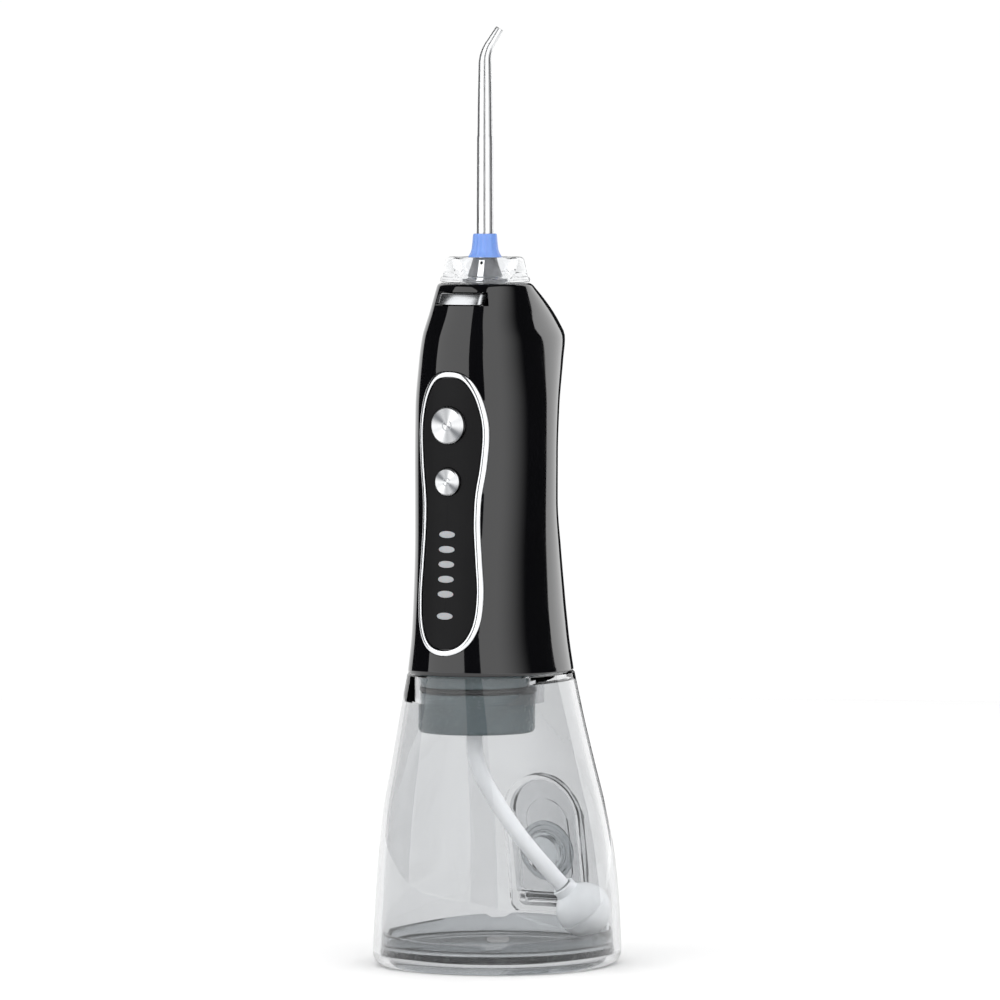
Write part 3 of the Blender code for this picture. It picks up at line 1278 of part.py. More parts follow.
def build_jet_tip():
    low = HANDLE_TOP + GAP + 0.1 + CORE_HEIGHT + GAP
    high = low + COLLAR_HEIGHT
    axis_y = NOZZLE_Y
    turned("tip_collar", "blue_plastic",
           [(3.8, high), (4.15, low + 2.8), (5.1, low), (3.0, low), (3.0, high)], 24)
    lean = Vector((math.cos(math.radians(30.0)), math.sin(math.radians(30.0)), 0.0))
    base = Vector((0.0, axis_y, 0.0))
    stations = [(RECEIVER_LOW + 4.4, 5.4), (low - 0.6, 5.4), (high, 5.4), (high + 20.0, 5.2),
                (high + 31.2, 5.1), (high + 31.4, 4.95), (high + 41.0, 4.7), (high + 54.5, 4.1)]
    centres = [base + Vector((0, 0, z)) for z, width in stations]
    widths = [width for z, width in stations]
    bend = base + Vector((0, 0, high + 54.5))
    radius = 12.0
    turn = math.radians(32.0)
    for step in range(1, 5):
        angle = turn * step / 4
        centres.append(bend + lean * radius * (1 - math.cos(angle)) + Vector((0, 0, radius * math.sin(angle))))
        widths.append(4.1 - 1.2 * step / 4)
    way = lean * math.sin(turn) + Vector((0, 0, math.cos(turn)))
    length = (TIP_TOP - 0.7 - centres[-1].z) / way.z
    centres.append(centres[-1] + way * length)
    widths.append(2.6)
    jet = swept("jet_tube", "polished_steel", centres, widths, 20)
    mouth = centres[-1]
    cut(jet, cylinder("jet_mouth", None, mouth - way * 1.6, mouth + way * 1.0, 0.55, 12))
    cut(jet, cylinder("jet_inlet", None, base + Vector((0, 0, RECEIVER_LOW)),
                      base + Vector((0, 0, low - 4.0)), 1.5, 16))
    turned("tip_stem_seal", "seal_rubber",
           [(STEM_RADIUS + 0.25, RECEIVER_LOW + 13.4), (STEM_RADIUS + 0.25, RECEIVER_LOW + 12.2),
            (2.7 + 0.2, RECEIVER_LOW + 12.2), (2.7 + 0.2, RECEIVER_LOW + 13.4)], 24)


def swept(name, kind, centres, widths, segments):
    """A round tube of changing width along a path: a curve with a radius at each point."""
    curve = bpy.data.curves.new(name, "CURVE")
    curve.dimensions = "3D"
    curve.bevel_depth = MM / 2
    curve.bevel_resolution = segments // 4 - 1
    curve.use_fill_caps = True
    spline = curve.splines.new("POLY")
    spline.points.add(len(centres) - 1)
    for point, centre, width in zip(spline.points, centres, widths):
        point.co = (*(centre * MM), 1.0)
        point.radius = width
    obj = bpy.data.objects.new(name, curve)
    CUTTERS.objects.link(obj)
    bpy.context.view_layer.update()
    return mesh_from_curve(obj, kind)


# ---- Suction hose --------------------------------------------------------------------------
def hose_ends():
    """Where the hose leaves the dock and where it ends above the weight."""
    start = Vector((0.0, barb_y(), TANK_HEIGHT - DOCK_DROP - 0.4))
    return start, WEIGHT_CENTRE + WEIGHT_WAY * (WEIGHT_RADIUS + 2.1)


def build_suction_hose():
    start, end = hose_ends()
    span = end - start
    points = [start + Vector((span.x * right, span.y * back, span.z * down))
              for down, right, back in HOSE_BENDS]
    points += [end + WEIGHT_WAY * HOSE_LAST, end]
    return tube("suction_hose", "frosted_silicone", smooth_points(points, 2), HOSE_DIAMETER, 2)


def build_suction_weight():
    """Ball that keeps the hose's end in the last of the water, with a collar and a bottom notch."""
    end = hose_ends()[1]
    way = WEIGHT_WAY.normalized()
    ball = sphere("suction_weight", "frosted_silicone", WEIGHT_CENTRE, WEIGHT_RADIUS, 18)
    collar = cylinder("weight_collar", None, WEIGHT_CENTRE, end - way * GAP, WEIGHT_COLLAR, 20)
    join(ball, collar)
    bottom = WEIGHT_CENTRE + Vector((0, 0, -WEIGHT_RADIUS))
    cut(ball, box("weight_notch", None, bottom - Vector((12, 0.9, 1)), bottom + Vector((12, 0.9, 1.6))))
    return ball


# ---- Build ---------------------------------------------------------------------------------
build_reservoir_shell()
build_reservoir_base()
build_fill_hinge_pin()
build_fill_door()
build_fill_plug()
build_handle_casing()
build_control_panel()
build_panel_trim()
build_lights()
build_button("power_button", POWER_Z, POWER_RADIUS)
build_button("mode_button", MODE_Z, MODE_RADIUS)
build_switch("power_switch", POWER_Z)
build_switch("mode_switch", MODE_Z)
build_circuit_board()
build_charge_port_cover()
build_charge_jack()
build_dock()
build_dock_seal()
build_suction_barb()
build_dock_screws()
build_chassis()
build_battery_cell()
build_motor_can()
build_motor_screws()
build_motor_rotor()
build_gear_axle()
build_crank_gear()
build_crank_pin()
build_piston()
build_pump()
build_nozzle_receiver()
build_receiver_seal()
build_tip_release()
build_dial()
build_jet_tip()
build_suction_hose()
build_suction_weight()
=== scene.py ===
"""Cordless water flosser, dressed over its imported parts.

Sizes are millimetres, turned to metres by MM. Front is -Y, up is +Z.
"""
import math

import bmesh
import bpy
from mathutils import Matrix, Vector


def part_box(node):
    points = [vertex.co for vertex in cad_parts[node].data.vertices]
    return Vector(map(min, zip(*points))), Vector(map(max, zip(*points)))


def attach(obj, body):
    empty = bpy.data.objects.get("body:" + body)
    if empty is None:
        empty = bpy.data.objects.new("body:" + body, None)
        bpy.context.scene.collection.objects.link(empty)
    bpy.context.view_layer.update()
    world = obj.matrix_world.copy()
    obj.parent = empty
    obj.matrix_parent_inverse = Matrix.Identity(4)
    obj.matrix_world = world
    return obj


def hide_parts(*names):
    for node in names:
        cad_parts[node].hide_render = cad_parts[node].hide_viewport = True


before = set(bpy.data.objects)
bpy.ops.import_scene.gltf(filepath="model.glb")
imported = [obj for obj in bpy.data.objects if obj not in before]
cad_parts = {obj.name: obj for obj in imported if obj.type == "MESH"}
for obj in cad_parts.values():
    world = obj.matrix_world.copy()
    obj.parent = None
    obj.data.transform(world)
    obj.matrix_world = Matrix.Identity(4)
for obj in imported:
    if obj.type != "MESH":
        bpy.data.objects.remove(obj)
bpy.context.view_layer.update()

MM = 0.001

# ---- Camera and studio ---------------------------------------------------------------------
# A long lens slightly above the object, a third of the way round its right side, in a white
# cove. The gloss sees a dark room with two tall softboxes and two rim lights, which draw the
# upright bands.
NOZZLE_Y = -7.7
turn = math.radians(30.0)
toward_eye = Vector((math.sin(turn), -math.cos(turn), 0.0))
rightward = Vector((math.cos(turn), math.sin(turn), 0.0))
aim = Vector((0.0, NOZZLE_Y, 148.5)) + rightward * 4.77
eye = aim + toward_eye * 2540.0
eye.z = 273.7
bpy.ops.object.camera_add(location=eye * MM, rotation=(aim - eye).to_track_quat("-Z", "Y").to_euler())
camera = bpy.context.object
camera.name = "camera"
camera.data.sensor_width = 36.0
camera.data.lens = 288.0
camera.data.clip_end = 30.0
bpy.context.scene.camera = camera
bpy.context.scene.view_settings.view_transform = "Standard"


def hex_linear(code):
    """An sRGB hex colour as linear red, green, blue and alpha."""
    parts = [int(code[i:i + 2], 16) / 255.0 for i in (1, 3, 5)]
    return tuple(p / 12.92 if p <= 0.04045 else ((p + 0.055) / 1.055) ** 2.4 for p in parts) + (1.0,)


def add_node(tree, kind, inputs=None, **settings):
    """Adds a node, sets its properties, and gives its inputs values or links."""
    node = tree.nodes.new(kind)
    for key, value in settings.items():
        setattr(node, key, value)
    for key, value in (inputs or {}).items():
        if isinstance(value, bpy.types.NodeSocket):
            tree.links.new(value, node.inputs[key])
        else:
            node.inputs[key].default_value = value
    return node


studio = bpy.data.worlds.new("studio")
bpy.context.scene.world = studio
studio.use_nodes = True
studio.cycles.sampling_method = "NONE"
tree = studio.node_tree
tree.nodes.clear()
rays = add_node(tree, "ShaderNodeLightPath")
# What stands inside the clear tank also gets the light that real walls focus on it.
inside = add_node(tree, "ShaderNodeMath", {0: rays.outputs["Diffuse Depth"], 1: 1.0}, operation="MINIMUM")
inside = add_node(tree, "ShaderNodeMath", {0: inside.outputs[0], 1: rays.outputs["Is Transmission Ray"]},
                  operation="MULTIPLY")
flood = add_node(tree, "ShaderNodeMapRange", {"Value": inside.outputs[0], "To Min": 1.02, "To Max": 3.4})
cove = add_node(tree, "ShaderNodeBackground", {"Color": hex_linear("#ffffff"),
                                               "Strength": flood.outputs[0]})
room = add_node(tree, "ShaderNodeBackground", {"Color": hex_linear("#8a8c90"), "Strength": 0.05})
# Light that passes through clear plastic comes from the cove; only what mirrors sees the room.
straight = add_node(tree, "ShaderNodeMath", {0: 1.0, 1: rays.outputs["Is Transmission Ray"]},
                    operation="SUBTRACT")
mirrored = add_node(tree, "ShaderNodeMath", {0: rays.outputs["Is Glossy Ray"], 1: straight.outputs[0]},
                    operation="MULTIPLY")
seen = add_node(tree, "ShaderNodeMixShader", {0: mirrored.outputs[0], 1: cove.outputs[0],
                                              2: room.outputs[0]})
add_node(tree, "ShaderNodeOutputWorld", {"Surface": seen.outputs[0]})


SOFTBOX_AWAY = 1250.0
SOFTBOX_LOW = -300.0
SOFTBOX_HIGH = 1500.0


def hang_softbox(name, start, end, radiance, full=1.0):
    """A tall softbox between two angles round the object; past a share of it the light fades."""
    ends = [toward_eye * math.cos(math.radians(a)) + rightward * math.sin(math.radians(a))
            for a in (start, end)]
    left, right = ends[0] * SOFTBOX_AWAY, ends[1] * SOFTBOX_AWAY
    middle = (left + right) / 2 + Vector((0.0, 0.0, (SOFTBOX_LOW + SOFTBOX_HIGH) / 2))
    width, height = (right - left).length, SOFTBOX_HIGH - SOFTBOX_LOW
    facing = Vector((-middle.x, -middle.y, 0.0)).to_track_quat("-Z", "Y")
    bpy.ops.object.light_add(type="AREA", location=middle * MM, rotation=facing.to_euler())
    lamp = bpy.context.object
    lamp.name = name
    lamp.data.shape = "RECTANGLE"
    lamp.data.size = width * MM
    lamp.data.size_y = height * MM
    lamp.data.energy = radiance * math.pi * width * height * MM * MM
    lamp.visible_camera = False
    lamp.visible_transmission = False
    if full < 1.0:
        lamp.data.use_nodes = True
        tree = lamp.data.node_tree
        place = add_node(tree, "ShaderNodeNewGeometry")
        across = add_node(tree, "ShaderNodeSeparateXYZ", {0: place.outputs["Parametric"]})
        fade = add_node(tree, "ShaderNodeMapRange", {"Value": across.outputs["X"], "From Min": full,
                                                     "From Max": 1.0, "To Min": 1.0, "To Max": 0.0},
                        interpolation_type="SMOOTHSTEP")
        tree.links.new(fade.outputs[0], tree.nodes["Emission"].inputs["Strength"])


hang_softbox("softbox_left", -88.0, -22.0, 1.6)
hang_softbox("softbox_right", 6.0, 88.0, 1.6, 0.35)
hang_softbox("rim_right", 122.0, 152.0, 1.6)
hang_softbox("rim_left", -178.0, -142.0, 1.0)

# A pale painted board under the object, wide enough to run out of sight.
bpy.ops.mesh.primitive_circle_add(vertices=96, radius=1.15, fill_type="TRIFAN")
floor = bpy.context.object
floor.name = "studio_floor"
painted_board = bpy.data.materials.new("matt_pale_painted_board")
painted_board.use_nodes = True
tree = painted_board.node_tree
shader = tree.nodes["Principled BSDF"]
shader.inputs["Base Color"].default_value = hex_linear("#e2e2e2")
shader.inputs["Specular IOR Level"].default_value = 0.0
coords = add_node(tree, "ShaderNodeTexCoord")
tooth = add_node(tree, "ShaderNodeTexNoise", {"Vector": coords.outputs["Object"], "Scale": 400.0})
tree.links.new(add_node(tree, "ShaderNodeMapRange", {"Value": tooth.outputs["Fac"], "To Min": 0.85,
                                                     "To Max": 0.95}).outputs[0],
               shader.inputs["Roughness"])
floor.data.materials.append(painted_board)

# ---- Suction hose --------------------------------------------------------------------------
# Soft translucent silicone tube, extruded, pushed on the barb under the handset. It stands in
# the tank's water and its far end carries the weight. The route repeats the part's own.
BASE_WIDTH = 77.6
BASE_DEPTH = 81.8
TANK_HEIGHT = 93.6
HANDLE_HEIGHT = 123.6
DOCK_Y = NOZZLE_Y - 5.3
DOCK_LOW = TANK_HEIGHT - 18.6
BARB_Y = DOCK_Y - 1.4
HOSE_DIAMETER = 5.1
WEIGHT_STANDOFF = 2.1
HOSE_LAST = 8.3
WEIGHT_RADIUS = 8.7
weight_centre = Vector((0.299 * BASE_WIDTH, 0.181 * BASE_DEPTH, 17.2))
weight_way = Vector((-0.4545, -0.4917, 0.7421))
hose_start = Vector((0.0, BARB_Y, DOCK_LOW - 0.4))
hose_end = weight_centre + weight_way * (WEIGHT_RADIUS + WEIGHT_STANDOFF)
hose_bends = [(0.0, 0.0, 0.0), (0.1336, -0.005, 0.0293), (0.2834, 0.060, 0.1339),
              (0.4352, 0.2022, 0.2929), (0.5870, 0.3770, 0.4561), (0.7368, 0.5792, 0.6402)]


def smooth_run(points, per_span, closed=False):
    """Points along a smooth curve through the given ones."""
    points = [Vector(p) for p in points]
    if closed:
        padded = [points[-1]] + points + points[:2]
    else:
        padded = [2 * points[0] - points[1]] + points + [2 * points[-1] - points[-2]]
    run = []
    for index in range(len(padded) - 3):
        a, b, c, d = padded[index:index + 4]
        for step in range(per_span):
            t = step / per_span
            run.append(0.5 * (2 * b + (c - a) * t + (2 * a - 5 * b + 4 * c - d) * t ** 2
                              + (3 * b - 3 * c + d - a) * t ** 3))
    return run if closed else run + [points[-1]]


hose_span = hose_end - hose_start
hose_points = [hose_start + Vector((hose_span.x * right, hose_span.y * back, hose_span.z * down))
               for down, right, back in hose_bends]
hose_line = smooth_run(hose_points + [hose_end + weight_way * HOSE_LAST, hose_end], 3)


def finish_material(name, colour, **values):
    """A material with the given even values on its own shader."""
    material = bpy.data.materials.new(name)
    material.use_nodes = True
    shader = material.node_tree.nodes["Principled BSDF"]
    shader.inputs["Base Color"].default_value = hex_linear(colour)
    for key, value in values.items():
        shader.inputs[key.replace("_", " ")].default_value = value
    return material, material.node_tree, shader


def mould_skin(tree, shader, grain_mm, depth_mm, smooth, rough, mottle=None, mottle_mm=15.0):
    """A moulded skin: grain of a real size that lifts the surface and spreads its gloss."""
    coords = add_node(tree, "ShaderNodeTexCoord")
    grain = add_node(tree, "ShaderNodeTexNoise", {"Vector": coords.outputs["Object"],
                                                  "Scale": 1.0 / (grain_mm * MM), "Detail": 3.0})
    gloss = add_node(tree, "ShaderNodeMapRange", {"Value": grain.outputs["Fac"], "From Min": 0.3,
                                                  "From Max": 0.7, "To Min": smooth, "To Max": rough})
    tree.links.new(gloss.outputs[0], shader.inputs["Roughness"])
    relief = add_node(tree, "ShaderNodeBump", {"Height": grain.outputs["Fac"],
                                               "Distance": depth_mm * MM})
    tree.links.new(relief.outputs[0], shader.inputs["Normal"])
    if mottle:
        cloud = add_node(tree, "ShaderNodeTexNoise", {"Vector": coords.outputs["Object"],
                                                      "Scale": 1.0 / (mottle_mm * MM)})
        shade = add_node(tree, "ShaderNodeMix", {0: cloud.outputs["Fac"], 6: hex_linear(mottle[0]),
                                                 7: hex_linear(mottle[1])}, data_type="RGBA")
        tree.links.new(shade.outputs[2], shader.inputs["Base Color"])


# Translucent silicone: milky white with a soft satin skin; the faint 6 mm mottle stands for
# the uneven thickness of a soft extrusion.
silicone, tree, shader = finish_material("translucent_silicone_extruded", "#f5f6f7", IOR=1.41)
mould_skin(tree, shader, 2.0, 0.003, 0.22, 0.30, ("#f5f6f7", "#eeeff1"), 6.0)


def select_only(piece):
    """Selects one piece and makes it active."""
    bpy.ops.object.select_all(action="DESELECT")
    piece.select_set(True)
    bpy.context.view_layer.objects.active = piece


bpy.ops.object.select_all(action="DESELECT")
bpy.ops.curve.primitive_bezier_curve_add()
hose = bpy.context.object
hose.name = "silicone_hose"
hose.data.splines.clear()
hose.data.bevel_depth = HOSE_DIAMETER / 2 * MM
hose.data.bevel_resolution = 6
hose.data.use_fill_caps = True
line = hose.data.splines.new("POLY")
line.points.add(len(hose_line) - 1)
for point, spot in zip(line.points, hose_line):
    point.co = (*(spot * MM), 1.0)
line.use_smooth = True
hose.data.materials.append(silicone)

# ---- Hose weight ---------------------------------------------------------------------------
# A frosted ball in two moulded halves with a steel slug inside: a socket collar for the hose,
# a seam round its middle, a flat on its side, and a slot that keeps it off the tank's floor.


def tidy_mesh(piece, smooth_angle=32.0):
    """Merges doubles, turns the faces outwards and shades the piece smooth."""
    select_only(piece)
    bpy.ops.object.mode_set(mode="EDIT")
    bpy.ops.mesh.select_all(action="SELECT")
    bpy.ops.mesh.remove_doubles(threshold=0.000002)
    bpy.ops.mesh.normals_make_consistent(inside=False)
    bpy.ops.object.mode_set(mode="OBJECT")
    bpy.ops.object.shade_smooth_by_angle(angle=math.radians(smooth_angle))
    return piece


def draw_solid(name, rings, smooth_angle=32.0):
    """A cylinder cut into as many levels as there are rings, each level drawn to its ring."""
    count, levels = len(rings[0]), len(rings)
    bpy.ops.object.select_all(action="DESELECT")
    bpy.ops.mesh.primitive_cylinder_add(vertices=count, radius=1.0, depth=2.0)
    piece = bpy.context.object
    piece.name = name
    if levels > 2:
        bpy.ops.object.mode_set(mode="EDIT")
        bpy.ops.mesh.select_mode(type="EDGE")
        bpy.ops.mesh.select_all(action="DESELECT")
        shape = bmesh.from_edit_mesh(piece.data)
        for edge in shape.edges:
            edge.select_set(abs(edge.verts[0].co.z - edge.verts[1].co.z) > 1.0)
        bmesh.update_edit_mesh(piece.data)
        bpy.ops.mesh.subdivide(number_cuts=levels - 2)
        bpy.ops.mesh.select_mode(type="VERT")
        bpy.ops.object.mode_set(mode="OBJECT")
    for vertex in piece.data.vertices:
        level = round((vertex.co.z + 1.0) / 2.0 * (levels - 1))
        column = round(math.atan2(vertex.co.y, vertex.co.x) / (2 * math.pi) * count) % count
        vertex.co = Vector(rings[level][column]) * MM
    return tidy_mesh(piece, smooth_angle)


def draw_wall(name, rings, smooth_angle=32.0):
    """A torus whose tube is drawn to a closed run of rings: a hollow piece with a wall."""
    bpy.ops.object.select_all(action="DESELECT")
    bpy.ops.mesh.primitive_torus_add(major_segments=len(rings[0]), minor_segments=len(rings),
                                     major_radius=1.0, minor_radius=0.25)
    piece = bpy.context.object
    piece.name = name
    for vertex in piece.data.vertices:
        column, row = divmod(vertex.index, len(rings))
        vertex.co = Vector(rings[row][column]) * MM
    return tidy_mesh(piece, smooth_angle)


def round_ring(centre, axis, radius, count=48):
    """A circle of points about an axis."""
    axis = Vector(axis).normalized()
    across = axis.orthogonal().normalized()
    if abs(axis.z) > 0.999:
        across = Vector((1.0, 0.0, 0.0))
    along = axis.cross(across)
    return [Vector(centre) + (across * math.cos(a) + along * math.sin(a)) * radius
            for a in (2 * math.pi * i / count for i in range(count))]


def carve(piece, tool, operation="DIFFERENCE"):
    """Cuts, joins or trims the piece with a tool, and removes the tool."""
    select_only(piece)
    cut = piece.modifiers.new("carve", "BOOLEAN")
    cut.operation = operation
    cut.solver = "EXACT"
    cut.object = tool
    bpy.ops.object.modifier_apply(modifier=cut.name)
    bpy.data.objects.remove(tool)


def block(name, low, high):
    """A square-edged cutting block."""
    bpy.ops.object.select_all(action="DESELECT")
    centre = (Vector(low) + Vector(high)) / 2
    bpy.ops.mesh.primitive_cube_add(size=1.0, location=centre * MM)
    tool = bpy.context.object
    tool.name = name
    tool.dimensions = (Vector(high) - Vector(low)) * MM
    bpy.ops.object.transform_apply(location=True, rotation=True, scale=True)
    return tool


weight_way = weight_way.normalized()
steps = [(-1.00, 0.02), (-0.97, 0.243), (-0.90, 0.436), (-0.78, 0.626), (-0.62, 0.785), (-0.44, 0.898),
         (-0.22, 0.975), (-0.10, 0.995), (-0.05, 0.998), (-0.035, 0.965), (0.0, 0.965), (0.015, 1.0),
         (0.06, 0.998), (0.22, 0.975), (0.42, 0.908), (0.60, 0.80), (0.76, 0.65), (0.86, 0.51)]
rings = [round_ring(weight_centre + weight_way * WEIGHT_RADIUS * along, weight_way, WEIGHT_RADIUS * out)
         for along, out in steps]
tops = [(8.0, 3.9), (9.6, 3.75), (10.2, 3.7), (10.45, 3.45), (10.4, 2.75), (9.6, 2.7), (8.0, 2.7)]
rings += [round_ring(weight_centre + weight_way * along, weight_way, out) for along, out in tops]
weight = draw_solid("hose_weight", rings)
facet_way = (rightward * 0.62 + toward_eye * 0.52 + Vector((0, 0, 0.62))).normalized()
select_only(weight)
bpy.ops.object.mode_set(mode="EDIT")
bpy.ops.mesh.select_all(action="SELECT")
bpy.ops.mesh.bisect(plane_co=(weight_centre + facet_way * (WEIGHT_RADIUS - 0.75)) * MM,
                    plane_no=facet_way, use_fill=True, clear_outer=True)
bpy.ops.object.mode_set(mode="OBJECT")
bottom = weight_centre - Vector((0, 0, WEIGHT_RADIUS))
carve(weight, block("slot", bottom - Vector((12, 0.9, 1)), bottom + Vector((12, 0.9, 1.7))))
side = weight_centre + rightward * WEIGHT_RADIUS * 0.72 - Vector((0, 0, WEIGHT_RADIUS * 0.62))
carve(weight, block("lug", side - Vector((1.3, 1.0, 1.2)), side + Vector((1.5, 1.0, 0.9))), "UNION")
rim = weight.modifiers.new("edges", "BEVEL")
rim.width = 0.25 * MM
rim.segments = 2
rim.angle_limit = math.radians(40.0)
select_only(weight)
bpy.ops.object.modifier_apply(modifier=rim.name)
tidy_mesh(weight, 40.0)

# Frosted polypropylene: milky, with no shape showing through; the mould's etched face breaks
# the highlight, drawn as a 0.8 mm tooth so that it shows.
frosted, tree, shader = finish_material("frosted_polypropylene_moulded", "#f2f3f4", IOR=1.49)
mould_skin(tree, shader, 0.8, 0.002, 0.16, 0.26, ("#f5f6f7", "#eceef0"), 6.0)
weight.data.materials.append(frosted)
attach(weight, "suction_hose")
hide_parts("suction_weight")
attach(hose, "suction_hose")
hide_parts("suction_hose")

# ---- Tank ----------------------------------------------------------------------------------
# One clear moulding, blown-out bell shape with a rounded foot, a short neck that takes the
# handset's plug, and a round-topped pocket in its back that the fill door lies in.
TANK_WALL = 2.3
NECK_DEPTH = 9.0
NECK_WALL = 2.0
RIM_INSET = 3.5
RIM_HEIGHT = 4.7
FLOOR_BOTTOM = 4.0
MOUTH_RADIUS = 19.05
DOOR_WIDTH = 23.9
DOOR_TOP = 57.2
HINGE_Z = 18.2
HINGE_RADIUS = 1.6
HINGE_BORE = 0.9
POCKET_DEPTH = 5.5
POCKET_TILT = math.radians(10.5)
FRONT_POWER = 2.1
# Share of the height, half width, front, back, widest line, and how square the back is.
tank_sections = [(0.00, 1.000, -1.000, 0.985, 0.00, 2.15), (0.20, 0.965, -0.993, 1.000, -0.02, 2.20),
                 (0.37, 0.925, -0.976, 0.955, -0.05, 2.28), (0.53, 0.870, -0.951, 0.852, -0.08, 2.35),
                 (0.69, 0.785, -0.915, 0.742, -0.10, 2.42), (0.86, 0.695, -0.873, 0.655, -0.13, 2.46),
                 (1.00, 0.618, -0.843, 0.612, -0.15, 2.50)]


def gentle_slope(left, middle, right, column):
    """The slope through a section that never makes the curve overshoot."""
    if left is middle or middle is right:
        return (right[column] - left[column]) / (right[0] - left[0])
    before = (middle[column] - left[column]) / (middle[0] - left[0])
    after = (right[column] - middle[column]) / (right[0] - middle[0])
    return 0.0 if before * after <= 0 else 2 * before * after / (before + after)


def section_at(sections, share):
    """Half width, front, back and widest line in millimetres, and the back's squareness."""
    share = min(max(share, 0.0), 1.0)
    last = len(sections) - 2
    index = next((i for i in range(last) if share < sections[i + 1][0]), last)
    low, high = sections[index], sections[index + 1]
    before, after = sections[max(index - 1, 0)], sections[min(index + 2, last + 1)]
    span = high[0] - low[0]
    t = (share - low[0]) / span
    values = []
    for column in range(1, 6):
        rise = high[column] - low[column]
        start = gentle_slope(before, low, high, column) * span
        end = gentle_slope(low, high, after, column) * span
        values.append(low[column] + start * t + (3 * rise - 2 * start - end) * t ** 2
                      + (start + end - 2 * rise) * t ** 3)
    deep = BASE_DEPTH / 2
    return values[0] * BASE_WIDTH / 2, values[1] * deep, values[2] * deep, values[3] * deep, values[4]


def section_ring(section, inset, z, count=96):
    """A ring of points round a section, moved inwards."""
    half, front, back, middle, power = section
    points = []
    for index in range(count):
        angle = 2 * math.pi * index / count
        across, along = math.cos(angle), math.sin(angle)
        bend = FRONT_POWER if along < 0 else power
        reach = (middle - front if along < 0 else back - middle) - inset
        points.append(Vector(((half - inset) * math.copysign(abs(across) ** (2 / bend), across),
                              middle + reach * math.copysign(abs(along) ** (2 / bend), along), z)))
    return points


def tank_ring(z, inset=0.0):
    return section_ring(section_at(tank_sections, z / TANK_HEIGHT), inset, z)


def heights(low, high, step):
    """Even heights from low to high, about a step apart."""
    count = max(round((high - low) / step), 1)
    return [low + (high - low) * i / count for i in range(count + 1)]


def upright_rings(y, steps, count=96):
    """Circles about an upright axis, one for each height and radius."""
    return [round_ring((0, y, z), (0, 0, 1), radius, count) for z, radius in steps]


def even_outline(points, count):
    """The same closed outline with its points at equal steps."""
    points = [Vector(p) for p in points]
    lengths = [(points[(i + 1) % len(points)] - points[i]).length for i in range(len(points))]
    total, result, index, passed = sum(lengths), [], 0, 0.0
    for step in range(count):
        target = total * step / count
        while passed + lengths[index] < target:
            passed += lengths[index]
            index += 1
        share = (target - passed) / lengths[index]
        result.append(points[index].lerp(points[(index + 1) % len(points)], share))
    return result


def prism_back(name, outline, low, high):
    """A solid along Y from an outline of X and Z."""
    return draw_solid(name, [[Vector((p.x, y, p.y)) for p in outline] for y in (low, high)])


def door_outline(grow, low, width=DOOR_WIDTH, top=DOOR_TOP, corner=3.0):
    """Round-topped outline of X and Z with small rounded corners at its foot."""
    radius = width / 2 + grow
    centre = top + grow - radius
    arc = [(radius * math.cos(math.pi * i / 40), centre + radius * math.sin(math.pi * i / 40))
           for i in range(41)]
    foot = [(-radius + corner * (1 - math.cos(math.pi / 2 * i / 8)),
             low + corner * (1 - math.sin(math.pi / 2 * i / 8))) for i in range(9)]
    other = [(-x, z) for x, z in reversed(foot)]
    return even_outline(arc + foot + other, 128)


hinge_y = max(p.y for p in tank_ring(HINGE_Z)) - HINGE_RADIUS + 0.4
pocket_up = Vector((0.0, -math.sin(POCKET_TILT), math.cos(POCKET_TILT)))
pocket_out = Vector((0.0, math.cos(POCKET_TILT), math.sin(POCKET_TILT)))
pocket_foot = Vector((0.0, hinge_y, HINGE_Z)) - pocket_out * (POCKET_DEPTH - HINGE_RADIUS)
plug_centre = pocket_foot + pocket_up * ((34.1 - HINGE_Z) / math.cos(POCKET_TILT))


def pocket_space(name, grow, depth):
    """The space of the door's pocket, grown sideways and deeper, tilted as its floor is."""
    low = HINGE_Z - HINGE_RADIUS - 0.5 - 0.9 - grow
    tool = prism_back(name, door_outline(0.5 + grow, low), 0.0, 40.0)
    hinge = Vector((0.0, pocket_foot.y, HINGE_Z)) * MM
    tool.data.transform(Matrix.Translation(hinge) @ Matrix.Rotation(POCKET_TILT, 4, "X")
                        @ Matrix.Translation(-hinge)
                        @ Matrix.Translation(Vector((0.0, pocket_foot.y - depth, 0.0)) * MM))
    return tool


foot_rings = [tank_ring(RIM_HEIGHT * (1 - math.cos(a)), RIM_INSET * (1 - math.sin(a)))
              for a in (math.pi / 2 * i / 8 for i in range(8))]
tank = draw_solid("clear_tank", foot_rings + [tank_ring(z) for z in heights(RIM_HEIGHT, 93.2, 1.6)]
                  + [tank_ring(TANK_HEIGHT, 0.35)])
ledge = FLOOR_BOTTOM - 0.3
cavity = draw_solid("cavity", [tank_ring(-1.0, RIM_INSET + 1.8), tank_ring(ledge - 0.1, RIM_INSET + 1.8)]
                    + [tank_ring(z, TANK_WALL) for z in heights(ledge, TANK_HEIGHT - TANK_WALL - 0.7, 1.6)]
                    + [tank_ring(TANK_HEIGHT - TANK_WALL, TANK_WALL + 0.7)])
carve(cavity, pocket_space("pocket_wall", TANK_WALL - 0.5, TANK_WALL))
neck_low = TANK_HEIGHT - NECK_DEPTH
carve(cavity, draw_solid("neck", upright_rings(DOCK_Y, ((neck_low, MOUTH_RADIUS + NECK_WALL),
                                                        (TANK_HEIGHT + 2, MOUTH_RADIUS + NECK_WALL)))))
carve(tank, cavity)
carve(tank, draw_solid("mouth", upright_rings(DOCK_Y, ((neck_low - 1, MOUTH_RADIUS),
                                                       (TANK_HEIGHT - 0.6, MOUTH_RADIUS),
                                                       (TANK_HEIGHT + 0.4, MOUTH_RADIUS + 1.0)))))
carve(tank, pocket_space("pocket", 0.0, 0.0))
